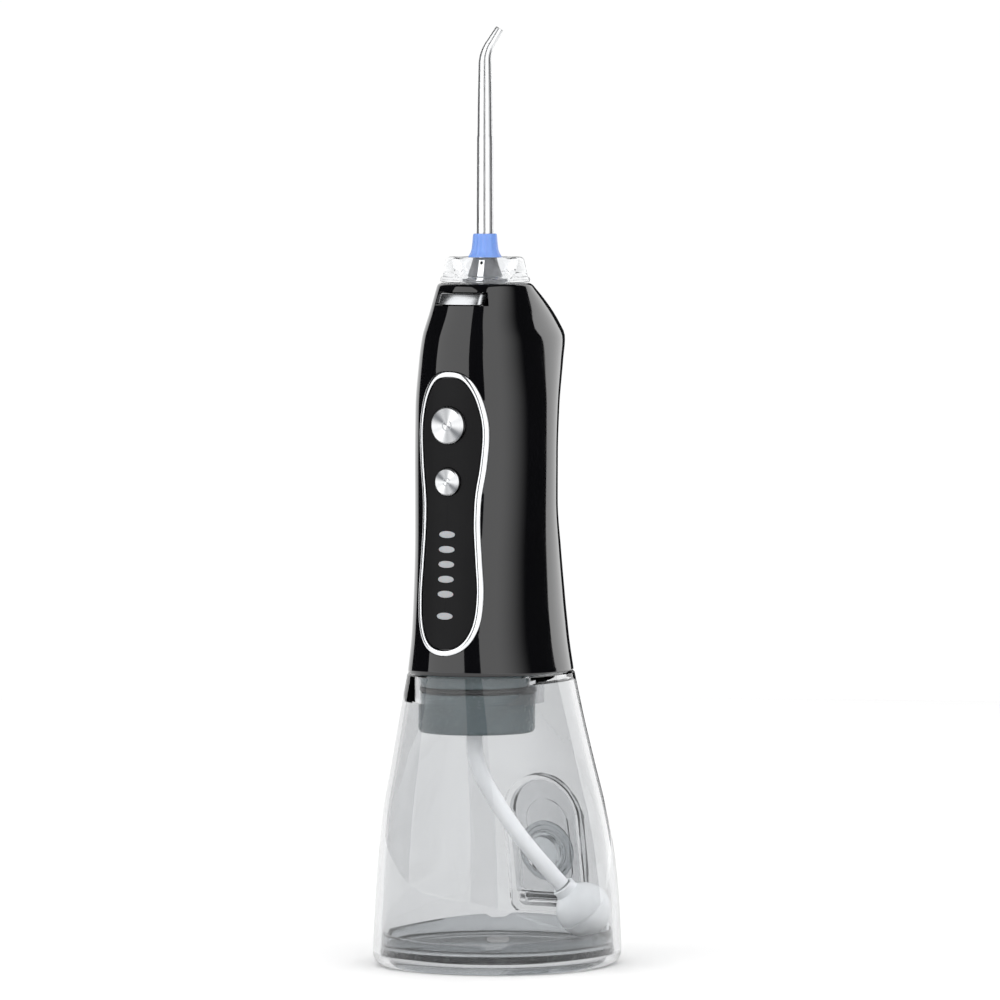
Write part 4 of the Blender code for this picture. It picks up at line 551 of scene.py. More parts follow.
carve(tank, draw_solid("plug_hole", [round_ring(plug_centre + pocket_out * d, pocket_out, 6.8, 64)
                                     for d in (-TANK_WALL - 2, 1.0)]))
edge = DOOR_WIDTH / 2 + 0.5
for side in (-1, 1):
    outer_x, inner_x = side * (edge + 0.6), side * (edge - 3.0)
    carve(tank, block("lug", (min(outer_x, inner_x), hinge_y - HINGE_RADIUS - 2.6, HINGE_Z - 1.6),
                      (max(outer_x, inner_x), hinge_y + HINGE_RADIUS * 0.5, HINGE_Z + 1.6)), "UNION")
carve(tank, draw_solid("pin_bore", [round_ring((x, hinge_y, HINGE_Z), (1, 0, 0), HINGE_BORE, 24)
                                    for x in (-edge - 0.2, edge + 0.2)]))
tidy_mesh(tank, 28.0)

# Clear copolyester, injection moulded and polished: water-clear with a faint cool grey tint,
# sharp reflections, and long shallow flow waves that only bend what shows behind it.
clear_tank, tree, shader = finish_material("clear_copolyester_moulded", "#e1e2e3", IOR=1.45,
                                           Transmission_Weight=1.0)
mould_skin(tree, shader, 16.0, 0.02, 0.0, 0.015)
tank.data.materials.append(clear_tank)
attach(tank, "reservoir")
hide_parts("reservoir_shell")

# ---- Tank floor ----------------------------------------------------------------------------
# A clear cup welded into the foot. Its rim waves and has small notches that drain the corners;
# a dark bead of sealant shows round its edge.
cup_inset = TANK_WALL + 0.3
CUP_TOP = 12.8


def waved_ring(inset, drop):
    """The cup's rim: a slow wave, lower at the front, with notches."""
    points = tank_ring(CUP_TOP, inset)
    for point in points:
        angle = math.atan2(point.y, point.x)
        wave = 0.55 * math.cos(3 * angle + 0.6) + 1.2 * math.sin(angle) - 1.4
        notch = 1.3 if abs((angle * 4 / math.pi + 0.35) % 2 - 1) < 0.12 else 0.0
        point.z = CUP_TOP - 0.6 + wave * 0.9 - notch - drop
    return points


cup_rings = [tank_ring(FLOOR_BOTTOM, cup_inset + 0.4), tank_ring(FLOOR_BOTTOM + 0.4, cup_inset)]
cup_rings += [tank_ring(z, cup_inset) for z in (5.5, 7.0, 8.0)]
cup_rings += [waved_ring(cup_inset, 0.4), waved_ring(cup_inset + 0.4, 0.0), waved_ring(cup_inset + 1.0, 0.0),
              waved_ring(cup_inset + 1.4, 0.4)]
cup_rings += [tank_ring(z, cup_inset + 1.4) for z in (8.0, 7.3)]
cup_rings += [tank_ring(6.7, cup_inset + 1.9), tank_ring(6.5, cup_inset + 2.6)]
cup = draw_solid("clear_floor_cup", cup_rings, 40.0)
# The same copolyester with a smoke tint, which the eye meets several times over along the floor.
smoky_cup, tree, shader = finish_material("smoky_copolyester_moulded", "#ced1d3", IOR=1.45,
                                          Transmission_Weight=1.0)
mould_skin(tree, shader, 16.0, 0.02, 0.01, 0.03)
cup.data.materials.append(smoky_cup)
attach(cup, "reservoir")
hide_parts("reservoir_base")

bead = draw_wall("floor_sealant_bead", [tank_ring(z, inset) for z, inset in
                                        ((4.1, 2.72), (4.3, 2.4), (5.7, 2.36), (5.95, 2.72), (5.7, 3.0),
                                         (4.3, 3.0))], 50.0)
# Black silicone sealant, squeezed flat between two clear walls: wet, dark and slightly uneven.
sealant, tree, shader = finish_material("black_silicone_sealant", "#16181a", IOR=1.42)
mould_skin(tree, shader, 2.0, 0.03, 0.12, 0.35, ("#101113", "#23272a"), 14.0)
bead.data.materials.append(sealant)
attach(bead, "reservoir")

# ---- Fill door -----------------------------------------------------------------------------
# A clear flap flush with the tank's back, on a steel pin, with a raised inner pad that carries
# the stopper. Its finger edge is at the round top.
DOOR_LOW = 20.3
DOOR_WALL = 1.8
door = prism_back("clear_fill_door", door_outline(0.0, DOOR_LOW, corner=1.5), 18.0, 60.0)
carve(door, draw_solid("outside", [tank_ring(z) for z in heights(5.0, 66.0, 1.6)]), "INTERSECT")
carve(door, draw_solid("inside", [tank_ring(z, DOOR_WALL) for z in heights(3.0, 68.0, 1.6)]))
pad = prism_back("door_pad", door_outline(-4.2, DOOR_LOW + 3.0, top=DOOR_TOP - 2.5, corner=4.0), 18.0, 60.0)
carve(pad, draw_solid("pad_out", [tank_ring(z, 1.0) for z in heights(5.0, 66.0, 1.6)]), "INTERSECT")
carve(pad, draw_solid("pad_in", [tank_ring(z, 2.6) for z in heights(3.0, 68.0, 1.6)]))
carve(door, pad, "UNION")
half = DOOR_WIDTH / 2 - 3.3
carve(door, block("web", (-half, hinge_y - HINGE_RADIUS * 0.8, HINGE_Z),
                  (half, hinge_y + 0.6, DOOR_LOW + 1.2)), "UNION")
carve(door, draw_solid("barrel", [round_ring((x, hinge_y, HINGE_Z), (1, 0, 0), HINGE_RADIUS, 32)
                                  for x in (-half, half)]), "UNION")
carve(door, draw_solid("post", [round_ring(plug_centre + pocket_out * d, pocket_out, r, 48)
                                for d, r in ((2.2, 3.5), (4.6, 3.5))]), "UNION")
carve(door, draw_solid("door_bore", [round_ring((x, hinge_y, HINGE_Z), (1, 0, 0), HINGE_BORE, 24)
                                     for x in (-half - 1, half + 1)]))
tidy_mesh(door, 28.0)
door.data.materials.append(clear_tank)
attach(door, "fill_door")
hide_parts("fill_door")

# ---- Fill stopper --------------------------------------------------------------------------
# Clear silicone stopper pressed on the door's post: a wide sealing flange with a raised lip,
# and a stepped core that plugs the hole in the pocket's floor.
stopper_steps = [(-3.0, 0.6), (-3.0, 4.6), (-2.7, 5.3), (-1.2, 5.7), (-0.9, 6.2), (0.1, 6.5), (0.3, 7.2),
                 (0.3, 9.0), (0.45, 9.2), (0.45, 9.8), (0.7, 10.0), (1.3, 10.0), (1.6, 9.8), (1.6, 8.7),
                 (1.25, 8.4), (1.25, 7.2), (1.9, 6.8), (1.9, 0.6)]
stopper = draw_solid("silicone_stopper", [round_ring(plug_centre + pocket_out * d, pocket_out, r, 64)
                                          for d, r in stopper_steps])
# Clear silicone, compression moulded: see-through with a soft edge to what shows behind it.
clear_silicone, tree, shader = finish_material("clear_silicone_moulded", "#dfe3e5", IOR=1.41,
                                               Transmission_Weight=0.92)
mould_skin(tree, shader, 4.0, 0.01, 0.04, 0.10)
stopper.data.materials.append(clear_silicone)
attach(stopper, "fill_door")
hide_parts("fill_plug")

# ---- Dock ----------------------------------------------------------------------------------
# The handset's foot, slate grey ABS: a round plug with a chamfered lower edge and a groove for
# its O-ring, under a flange screwed up into the casing, with a socket for the hose.
DOCK_RADIUS = 18.35
HANDLE_BOTTOM = TANK_HEIGHT + 0.3
HANDLE_TOP = HANDLE_BOTTOM + HANDLE_HEIGHT
SEAL_GROOVE = 1.4
SOCKET_DEPTH = 2.1
seal_z = TANK_HEIGHT - NECK_DEPTH * 0.55
handle_sections = [(0.000, 0.612, -0.842, 0.610, -0.150, 2.50), (0.100, 0.565, -0.824, 0.592, -0.175, 2.50),
                   (0.190, 0.549, -0.806, 0.548, -0.188, 2.52), (0.310, 0.542, -0.785, 0.470, -0.188, 2.53),
                   (0.440, 0.548, -0.766, 0.372, -0.188, 2.55), (0.560, 0.553, -0.757, 0.362, -0.188, 2.56),
                   (0.680, 0.549, -0.753, 0.403, -0.188, 2.58), (0.800, 0.515, -0.738, 0.555, -0.188, 2.60),
                   (0.864, 0.489, -0.709, 0.633, -0.188, 2.60), (0.895, 0.461, -0.682, 0.580, -0.188, 2.55),
                   (0.925, 0.433, -0.648, 0.506, -0.188, 2.45), (0.961, 0.407, -0.604, 0.374, -0.188, 2.25),
                   (1.000, 0.381, -0.550, 0.174, -0.188, 2.00)]


def handle_section(z):
    return section_at(handle_sections, (z - HANDLE_BOTTOM) / HANDLE_HEIGHT)


def handle_ring(z, inset=0.0):
    return section_ring(handle_section(z), inset, z)


dock_steps = [(DOCK_LOW, DOCK_RADIUS - 1.3), (DOCK_LOW + 0.25, DOCK_RADIUS - 0.6),
              (DOCK_LOW + 0.9, DOCK_RADIUS - 0.12), (DOCK_LOW + 1.5, DOCK_RADIUS),
              (seal_z - 1.1, DOCK_RADIUS), (seal_z - 1.05, DOCK_RADIUS - SEAL_GROOVE),
              (seal_z + 1.05, DOCK_RADIUS - SEAL_GROOVE), (seal_z + 1.1, DOCK_RADIUS),
              (HANDLE_BOTTOM + 0.2, DOCK_RADIUS)]
dock_rings = upright_rings(DOCK_Y, dock_steps)
dock_rings += [handle_ring(HANDLE_BOTTOM + 0.3, 2.7), handle_ring(HANDLE_BOTTOM + 3.3, 2.7)]
dock = draw_solid("dock_plug", dock_rings, 30.0)
socket = HOSE_DIAMETER / 2 + 0.9
carve(dock, draw_solid("hose_socket", upright_rings(BARB_Y, ((DOCK_LOW - 1, socket + 0.45),
                                                             (DOCK_LOW + 0.4, socket),
                                                             (DOCK_LOW + SOCKET_DEPTH, socket)), 48)))
tidy_mesh(dock, 30.0)
# ABS, moulded in slate grey: semi-gloss with a fine 1 mm orange peel and a slight blue cast.
slate_abs, tree, shader = finish_material("slate_abs_moulded", "#5f6b6e", IOR=1.54)
mould_skin(tree, shader, 1.0, 0.001, 0.20, 0.30, ("#4c585b", "#556266"), 20.0)
dock.data.materials.append(slate_abs)
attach(dock, "handset")
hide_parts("dock")

# ---- Dock seal -----------------------------------------------------------------------------
# Nitrile O-ring in the dock's groove, slightly flattened against the neck, with its flash line.
seal_rows = [(math.cos(a) * (0.75 if math.cos(a) < 0.9 else 0.8), math.sin(a) * 0.78)
             for a in (2 * math.pi * i / 16 for i in range(16))]
seal = draw_wall("dock_o_ring", [round_ring((0, DOCK_Y, seal_z + up), (0, 0, 1), DOCK_RADIUS - 0.4 + out, 96)
                                 for out, up in seal_rows], 60.0)
# Nitrile rubber, moulded: matt black, greyed by a fine bloom.
nitrile, tree, shader = finish_material("nitrile_rubber_moulded", "#1b1c1e", IOR=1.5)
mould_skin(tree, shader, 0.5, 0.006, 0.42, 0.6, ("#161718", "#242628"), 5.0)
seal.data.materials.append(nitrile)
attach(seal, "handset")
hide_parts("dock_seal")

# ---- Casing --------------------------------------------------------------------------------
# The handset's shell, black ABS polished in the mould to a mirror gloss. A shaped pocket in
# its front takes the control panel, a slot takes the tip release, and a recess at its back
# the rubber cover.
CASING_WALL = 2.4
TRIM_WIDTH = 2.0
POWER_RADIUS = 5.85
MODE_RADIUS = 4.35
POWER_Z = HANDLE_BOTTOM + 0.640 * HANDLE_HEIGHT
MODE_Z = HANDLE_BOTTOM + 0.496 * HANDLE_HEIGHT
LATCH_Z = HANDLE_TOP - 4.8
PORT_Z = HANDLE_BOTTOM + 11.6
panel_side = [(4.6, 0.7532), (8.0, 0.7176), (10.1, 0.6642), (10.7, 0.6117), (10.0, 0.5348),
              (8.7, 0.4579), (8.5, 0.3811), (9.2, 0.2921), (9.85, 0.2071), (8.9, 0.1303), (5.6, 0.0833)]


def panel_outline(grow):
    """The panel's smooth outline of X and Z, grown outwards."""
    right = [(x, HANDLE_BOTTOM + share * HANDLE_HEIGHT) for x, share in panel_side]
    loop = [(0.0, HANDLE_BOTTOM + 0.7613 * HANDLE_HEIGHT)] + right
    loop += [(0.0, HANDLE_BOTTOM + 0.0680 * HANDLE_HEIGHT)] + [(-x, z) for x, z in reversed(right)]
    run = smooth_run([Vector((x, z)) for x, z in loop], 8, closed=True)
    grown = []
    for index, point in enumerate(run):
        along = (run[(index + 1) % len(run)] - run[index - 1]).normalized()
        grown.append(point + Vector((-along.y, along.x)) * grow)
    return grown


def front_y(x, z, out=0.0):
    """Where the handle's front stands at X and Z, moved outwards."""
    half, front, back, middle, power = handle_section(z)
    share = min(abs(x) / (half + out), 1.0)
    return middle - (middle - front + out) * (1 - share ** FRONT_POWER) ** (1 / FRONT_POWER)


def back_y(x, z, out=0.0):
    """Where the handle's back stands at X and Z, moved outwards."""
    half, front, back, middle, power = handle_section(z)
    share = min(abs(x) / (half + out), 1.0)
    return middle + (back - middle + out) * (1 - share ** power) ** (1 / power)


def handle_solid(name, inset, low, high):
    return draw_solid(name, [handle_ring(z, inset) for z in heights(low, high, 1.5)])


def bore_for_buttons(piece, clearance, count):
    """Two round holes along Y, one for each button."""
    for z, radius in ((POWER_Z, POWER_RADIUS), (MODE_Z, MODE_RADIUS)):
        carve(piece, draw_solid("button_hole", [round_ring((0, y, z), (0, 1, 0), radius + clearance, count)
                                                for y in (-45.0, -20.0)]))


casing_rings = [handle_ring(HANDLE_BOTTOM, 0.35), handle_ring(HANDLE_BOTTOM + 0.12, 0.1)]
casing_rings += [handle_ring(z) for z in heights(HANDLE_BOTTOM + 0.4, HANDLE_TOP - 1.0, 1.45)]
casing_rings += [handle_ring(HANDLE_TOP - 1.0 + math.sin(a), 1.0 - math.cos(a))
                 for a in (math.pi / 2 * i / 5 for i in range(1, 6))]
casing = draw_solid("gloss_casing", casing_rings)
carve(casing, draw_solid("hollow", [handle_ring(z, CASING_WALL) for z in
                                    heights(HANDLE_BOTTOM - 1.0, HANDLE_TOP - CASING_WALL, 1.6)]))
pocket = prism_back("panel_pocket", [Vector(p) for p in panel_outline(TRIM_WIDTH + 0.15)], -45.0, -15.0)
carve(pocket, handle_solid("pocket_floor", 1.4, HANDLE_BOTTOM + 3.0, HANDLE_TOP - 22.0))
carve(casing, pocket)
bore_for_buttons(casing, 0.3, 48)
carve(casing, draw_solid("dial_hole", upright_rings(NOZZLE_Y, ((HANDLE_TOP - 6, 8.5),
                                                               (HANDLE_TOP + 2, 8.5)), 64)))
slot_angle = math.radians(37.5)
slot_side = 40 * math.sin(slot_angle)
slot_front = NOZZLE_Y - 40 * math.cos(slot_angle)
slot_corners = even_outline([(0.0, NOZZLE_Y - 3.0), (-slot_side, slot_front), (slot_side, slot_front)], 24)
carve(casing, draw_solid("release_slot", [[Vector((p.x, p.y, z)) for p in slot_corners]
                                          for z in (LATCH_Z - 2.15, LATCH_Z + 2.15)]))


def port_outline(grow, half=6.5, tall=4.0, corner=1.8):
    """Rounded rectangle of X and Z round the charging port."""
    half, tall, corner = half + grow, tall + grow, corner + grow
    points = []
    for side_x, side_z, start in ((1, 1, 0.0), (-1, 1, 90.0), (-1, -1, 180.0), (1, -1, 270.0)):
        for step in range(9):
            angle = math.radians(start + 90.0 * step / 8)
            points.append((side_x * (half - corner) + corner * math.cos(angle),
                           PORT_Z + side_z * (tall - corner) + corner * math.sin(angle)))
    return even_outline(points, 64)


recess = prism_back("port_recess", port_outline(0.3), 10.0, 32.0)
carve(recess, handle_solid("recess_floor", 1.3, PORT_Z - 9.0, PORT_Z + 14.0))
carve(casing, recess)
carve(casing, block("port_hole", (-5.2, 14.0, PORT_Z - 2.2), (5.2, 32.0, PORT_Z + 2.2)))
tidy_mesh(casing, 30.0)
# ABS, moulded against polished steel: piano black, clean reflections with a long faint wave.
piano_black, tree, shader = finish_material("black_abs_high_gloss", "#050506", IOR=1.54, Coat_Weight=0.3,
                                            Coat_Roughness=0.02)
mould_skin(tree, shader, 9.0, 0.004, 0.035, 0.07, ("#040405", "#08080a"), 30.0)
casing.data.materials.append(piano_black)
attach(casing, "handset")
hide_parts("handle_casing")

# ---- Control panel and its trim ------------------------------------------------------------
# A satin black insert with holes for the two buttons, held in the casing's pocket by a bright
# plated ring that stands a little proud and rounds over at both edges.


def on_front(outline, out):
    """An outline laid on the handle's front, moved outwards."""
    return [Vector((p.x, front_y(p.x, p.y, out), p.y)) for p in outline]


rim_outline = panel_outline(-0.1)
middle_z = HANDLE_BOTTOM + 0.4147 * HANDLE_HEIGHT
panel_rings = [on_front(rim_outline, -1.1), on_front(rim_outline, -0.3), on_front(panel_outline(-0.3), -0.1)]
for share in (0.85, 0.7, 0.55, 0.4, 0.25, 0.1, 0.01):
    inner = [Vector((p.x * share, middle_z + (p.y - middle_z) * (0.86 + 0.14 * share)))
             for p in panel_outline(-0.3)]
    panel_rings.append(on_front(inner, -0.1))
panel = draw_solid("satin_control_panel", panel_rings, 40.0)
bore_for_buttons(panel, 0.25, 64)
tidy_mesh(panel, 30.0)
# Polycarbonate with a spark-eroded face: deep satin black that holds no clear reflection.
satin_black, tree, shader = finish_material("black_polycarbonate_satin", "#111112", IOR=1.5,
                                            Specular_IOR_Level=0.1)
mould_skin(tree, shader, 0.35, 0.006, 0.42, 0.55, ("#101011", "#151516"), 12.0)
panel.data.materials.append(satin_black)
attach(panel, "handset")
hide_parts("control_panel")

trim_profile = [(0.25, -1.0), (0.25, 0.05), (0.4, 0.24), (0.7, 0.36), (1.0, 0.4), (1.3, 0.36), (1.75, 0.22),
                (2.0, 0.0), (2.05, -0.25), (2.05, -1.0)]
trim = draw_wall("bright_trim_ring", [on_front(panel_outline(grow), out) for grow, out in trim_profile], 50.0)
# ABS with a bright chromium plate: near-white mirror, very slightly softened by its levelling.
bright_plate, tree, shader = finish_material("bright_chromium_plate", "#eeeff1", Metallic=1.0)
mould_skin(tree, shader, 2.5, 0.003, 0.18, 0.26, ("#f1f2f4", "#e8eaec"), 18.0)
trim.data.materials.append(bright_plate)
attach(trim, "handset")
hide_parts("panel_trim")

# ---- Status lights -------------------------------------------------------------------------
# Five level lights and a charge light: oval light pipes with softly domed faces.
# Diffusing polycarbonate, unlit: pale grey, satin, a little darker at its rim.
light_pipe, tree, shader = finish_material("diffusing_polycarbonate_moulded", "#8d8f92", IOR=1.58,
                                           Subsurface_Weight=0.2, Subsurface_Scale=0.001)
mould_skin(tree, shader, 0.25, 0.004, 0.35, 0.5, ("#929497", "#85878a"), 2.0)
light_places = [0.3617 - 4.7 / HANDLE_HEIGHT * i for i in range(5)] + [0.1537]
for index, share in enumerate(light_places):
    z = HANDLE_BOTTOM + share * HANDLE_HEIGHT
    oval = even_outline([(2.85 * math.cos(a), 1.1 * math.copysign(abs(math.sin(a)) ** 0.9, math.sin(a)))
                         for a in (2 * math.pi * (i + 0.5) / 64 for i in range(64))], 48)
    rings = [on_front([Vector((p.x * s, z + p.y * s)) for p in oval], out)
             for s, out in ((1.0, -0.7), (1.0, -0.02), (0.94, 0.07), (0.8, 0.11), (0.5, 0.14), (0.1, 0.15))]
    name = "charge_light" if index == 5 else "status_light_%d" % (index + 1)
    light = draw_solid("pipe_of_" + name, rings, 45.0)
    light.data.materials.append(light_pipe)
    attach(light, "handset")
    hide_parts(name)

# ---- Buttons -------------------------------------------------------------------------------
# Aluminium caps, turned on a lathe: a bright chamfer, a slightly dished face with fine circular
# tool marks, and an engraved sign in the middle. Cap and stem are one piece.
# Turned aluminium: the opposite bright wedges that the circular marks throw back from each light are
# painted highlights in its colour, and the tool's feed leaves a ring every 0.12 mm.
spun, tree, shader = finish_material("turned_aluminium_cap", "#a3a4a6", Metallic=1.0)
marks = add_node(tree, "ShaderNodeUVMap", uv_map="lathe")
turned = add_node(tree, "ShaderNodeSeparateXYZ", {0: marks.outputs[0]})
broad = add_node(tree, "ShaderNodeMath", {0: turned.outputs["X"], 1: 4 * math.pi, 2: 0.1},
                 operation="MULTIPLY_ADD")
broad = add_node(tree, "ShaderNodeMath", {0: broad.outputs[0]}, operation="SINE")
narrow = add_node(tree, "ShaderNodeMath", {0: turned.outputs["X"], 1: 12 * math.pi, 2: 1.9},
                  operation="MULTIPLY_ADD")
narrow = add_node(tree, "ShaderNodeMath", {0: narrow.outputs[0]}, operation="SINE")
wedges = add_node(tree, "ShaderNodeMath", {0: narrow.outputs[0], 1: 0.45, 2: broad.outputs[0]},
                  operation="MULTIPLY_ADD")
feed = add_node(tree, "ShaderNodeMapping", {"Vector": marks.outputs[0], "Scale": (0.0, 1.0 / 0.12, 0.0)})
score = add_node(tree, "ShaderNodeTexNoise", {"Vector": feed.outputs[0], "Scale": 1.0, "Detail": 2.0})
wedges = add_node(tree, "ShaderNodeMath", {0: score.outputs["Fac"], 1: 0.7, 2: wedges.outputs[0]},
                  operation="MULTIPLY_ADD")
sheen = add_node(tree, "ShaderNodeMapRange", {"Value": wedges.outputs[0], "From Min": -1.0, "From Max": 1.8,
                                              "To Min": 0.0, "To Max": 1.0})
# The wedges are painted highlights: with the feed marks they lighten and darken the base colour.
shade = add_node(tree, "ShaderNodeMix", {0: sheen.outputs[0], 6: hex_linear("#6c6e71"),
                                         7: hex_linear("#f0f1f2")}, data_type="RGBA")
tree.links.new(shade.outputs[2], shader.inputs["Base Color"])
gloss = add_node(tree, "ShaderNodeMapRange", {"Value": score.outputs["Fac"], "From Min": 0.3,
                                              "From Max": 0.7, "To Min": 0.24, "To Max": 0.38})
tree.links.new(gloss.outputs[0], shader.inputs["Roughness"])
# Engraving filled with grey lacquer, so that the sign reads against the bright face.
lacquer, tree, shader = finish_material("grey_engraving_lacquer", "#8d8f92", IOR=1.5)
mould_skin(tree, shader, 0.2, 0.004, 0.35, 0.5, ("#85878a", "#97999c"), 0.6)


def lathe_map(piece, z):
    """A map with the turn round the button in U and the radius in millimetres in V."""
    layer = piece.data.uv_layers.new(name="lathe")
    for face in piece.data.polygons:
        turns = []
        for loop in face.loop_indices:
            co = piece.data.vertices[piece.data.loops[loop].vertex_index].co
            turns.append(math.atan2(co.z - z * MM, co.x) / (2 * math.pi))
        for loop, round_by in zip(face.loop_indices, turns):
            co = piece.data.vertices[piece.data.loops[loop].vertex_index].co
            if round_by < max(turns) - 0.5:
                round_by += 1.0
            layer.data[loop].uv = (round_by, math.hypot(co.x, co.z - z * MM) / MM)


def engrave(name, z, face, arcs, body):
    """Thin lacquered lines on the button's face, each an arc of centre height, radius and span."""
    for index, (radius, start, end) in enumerate(arcs):
        rings = []
        for step in range(25):
            angle = math.radians(start + (end - start) * step / 24)
            at = Vector((radius * math.cos(angle), face, z + radius * math.sin(angle)))
            way = Vector((math.cos(angle), 0.0, math.sin(angle)))
            rings.append([at + way * dx + Vector((0.0, dy, 0.0)) for dx, dy in
                          ((-0.16, 0.1), (-0.16, -0.02), (0.16, -0.02), (0.16, 0.1))])
        mark = draw_solid("%s_%d" % (name, index + 1), rings)
        mark.data.materials.append(lacquer)
        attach(mark, body)


for node, z, radius in (("power_button", POWER_Z, POWER_RADIUS), ("mode_button", MODE_Z, MODE_RADIUS)):
    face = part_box(node)[0][1] / MM
    stem_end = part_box(node)[1][1] / MM
    profile = [(stem_end, 0.4), (stem_end, 1.6), (face + 2.6, 1.6), (face + 2.6, radius - 0.3),
               (face + 2.3, radius), (face + 0.45, radius), (face + 0.12, radius - 0.3),
               (face, radius - 0.42), (face + 0.02, radius - 0.75)]
    profile += [(face + 0.02 + 0.1 * (1 - (k / 6) ** 2), max((radius - 0.75) * k / 6, 0.06))
                for k in (5, 4, 3, 2, 1, 0)]
    cap = draw_solid("turned_" + node, [round_ring((0, y, z), (0, -1, 0), r, 96) for y, r in profile], 24.0)
    lathe_map(cap, z)
    cap.data.materials.append(spun)
    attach(cap, node)
    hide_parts(node)
    if node == "power_button":
        engrave("power_sign", z, face + 0.1, ((1.6, 125.0, 415.0),), node)
    else:
        engrave("mode_sign", z, face + 0.1, ((1.25, 20.0, 160.0), (1.25, 200.0, 340.0)), node)

# ---- Tip release ---------------------------------------------------------------------------
# Brushed steel band in the front slot. It is pressed to free the tip, and its ends are dressed
# back to meet the casing.
band_rings = []
for step in range(45):
    share = -1.0 + 2.0 * step / 44
    angle = math.radians(33.0)
    edge_x = 7.6
    for _ in range(6):
        edge_x = (-10.7 - front_y(edge_x, LATCH_Z)) * math.tan(angle)
    x = edge_x * share
    bevel = max(abs(share) - 0.9, 0.0) / 0.1
    lift = 0.45 - 0.5 * bevel ** 2
    tall = 1.85 - 0.35 * bevel ** 2
    rows = [(-tall, -2.0), (-tall, lift - 0.35), (-tall + 0.12, lift - 0.12), (-tall + 0.4, lift),
            (0.0, lift + 0.05), (tall - 0.4, lift), (tall - 0.12, lift - 0.12), (tall, lift - 0.35),
            (tall, -2.0), (tall * 0.5, -2.1), (0.0, -2.1), (-tall * 0.5, -2.1)]
    band_rings.append([Vector((x, front_y(x, LATCH_Z + up, out), LATCH_Z + up)) for up, out in rows])
band = draw_solid("brushed_release_band", band_rings, 35.0)
# Stainless steel, brushed along the band: silver with lengthwise lines about 0.2 mm apart.
brushed, tree, shader = finish_material("brushed_stainless_band", "#c9cbcd", Metallic=1.0)
coords = add_node(tree, "ShaderNodeTexCoord")
stretch = add_node(tree, "ShaderNodeMapping", {"Vector": coords.outputs["Object"],
                                               "Scale": (60.0, 60.0, 5000.0)})
lines = add_node(tree, "ShaderNodeTexNoise", {"Vector": stretch.outputs[0], "Scale": 1.0, "Detail": 2.0})
gloss = add_node(tree, "ShaderNodeMapRange", {"Value": lines.outputs["Fac"], "To Min": 0.16, "To Max": 0.36})
tree.links.new(gloss.outputs[0], shader.inputs["Roughness"])
relief = add_node(tree, "ShaderNodeBump", {"Height": lines.outputs["Fac"], "Distance": 0.004 * MM})
tree.links.new(relief.outputs[0], shader.inputs["Normal"])
band.data.materials.append(brushed)
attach(band, "tip_release")
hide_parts("release_button")

# ---- Pressure dial -------------------------------------------------------------------------
# A thick clear crown with three finger flats, glued over a dark core. A white stripe up the core,
# turned to the eye, is a painted highlight. The crown's top edge is rounded and the flats run out
# above its foot.
DIAL_LOW = HANDLE_TOP + 0.4
CROWN_FLAT = 10.15


def crown_ring(up, radius, count=144):
    """A ring of the crown, cut by its three flats where they reach."""
    points = []
    for index in range(count):
        angle = 2 * math.pi * index / count
        away = (angle - math.radians(-60.0) + math.pi / 3) % (2 * math.pi / 3) - math.pi / 3
        reach = radius
        if up > 0.9:
            flat = CROWN_FLAT / math.cos(away)
            flat += max(0.0, 1.9 - up) * 4.0
            blend = max(0.35 - abs(flat - radius), 0.0) ** 2 / 1.4
            reach = min(flat, radius) - blend
        points.append(Vector((reach * math.cos(angle), NOZZLE_Y + reach * math.sin(angle), DIAL_LOW + up)))
    return points


crown_steps = [(0.0, 14.0), (0.15, 14.2), (0.5, 14.3), (0.9, 14.25), (1.2, 14.18), (1.5, 14.1), (1.9, 14.0)]
crown_steps += [(1.9 + 5.2 * i / 6, 14.0 - 1.45 * i / 6) for i in range(1, 7)]
crown_steps += [(7.45, 12.3), (7.7, 12.05), (7.85, 11.7)]
crown_rings = [crown_ring(up, r) for up, r in crown_steps]
crown_rings += [crown_ring(7.9, 11.2)]
crown_bore = ((7.8, 9.55), (7.5, 9.3), (5.0, 8.75), (2.6, 8.1), (1.6, 7.75), (1.3, 7.65), (0.0, 7.65))
crown_rings += upright_rings(NOZZLE_Y, [(DIAL_LOW + up, r) for up, r in crown_bore], 144)
crown = draw_wall("clear_dial_crown", crown_rings, 30.0)
# Clear polycarbonate, thick and polished. Its IOR is set below the real 1.58, so that the
# crown's thick lobes stay light.
clear_crown, tree, shader = finish_material("clear_polycarbonate_moulded", "#f6f7f8", IOR=1.2,
                                            Transmission_Weight=1.0)
mould_skin(tree, shader, 8.0, 0.01, 0.03, 0.06)
crown.data.materials.append(clear_crown)
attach(crown, "nozzle_dial")
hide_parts("dial_crown")

core_steps = [(DIAL_LOW - 2.5, 7.25), (DIAL_LOW, 7.3), (DIAL_LOW + 0.4, 7.2), (DIAL_LOW + 3.5, 5.85),
              (DIAL_LOW + 6.6, 4.5), (DIAL_LOW + 7.05, 4.25), (DIAL_LOW + 7.2, 4.0), (DIAL_LOW + 7.2, 3.4),
              (DIAL_LOW - 2.5, 3.4)]
core = draw_wall("dial_core_cone", upright_rings(NOZZLE_Y, core_steps), 30.0)
# Acetal, moulded dark grey: satin, with a very fine even grain.
grey_acetal, tree, shader = finish_material("grey_acetal_moulded", "#5c5d5f", IOR=1.48)
mould_skin(tree, shader, 0.4, 0.004, 0.30, 0.42, ("#58595b", "#636466"), 8.0)
core.data.materials.append(grey_acetal)
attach(core, "nozzle_dial")
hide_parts("dial_core")

# A painted highlight: a white stripe up the cone, 14 degrees round from the side facing the eye,
# with a small dark dot at its top.
highlight_angle = math.atan2(toward_eye.y, toward_eye.x) - math.radians(14.0)


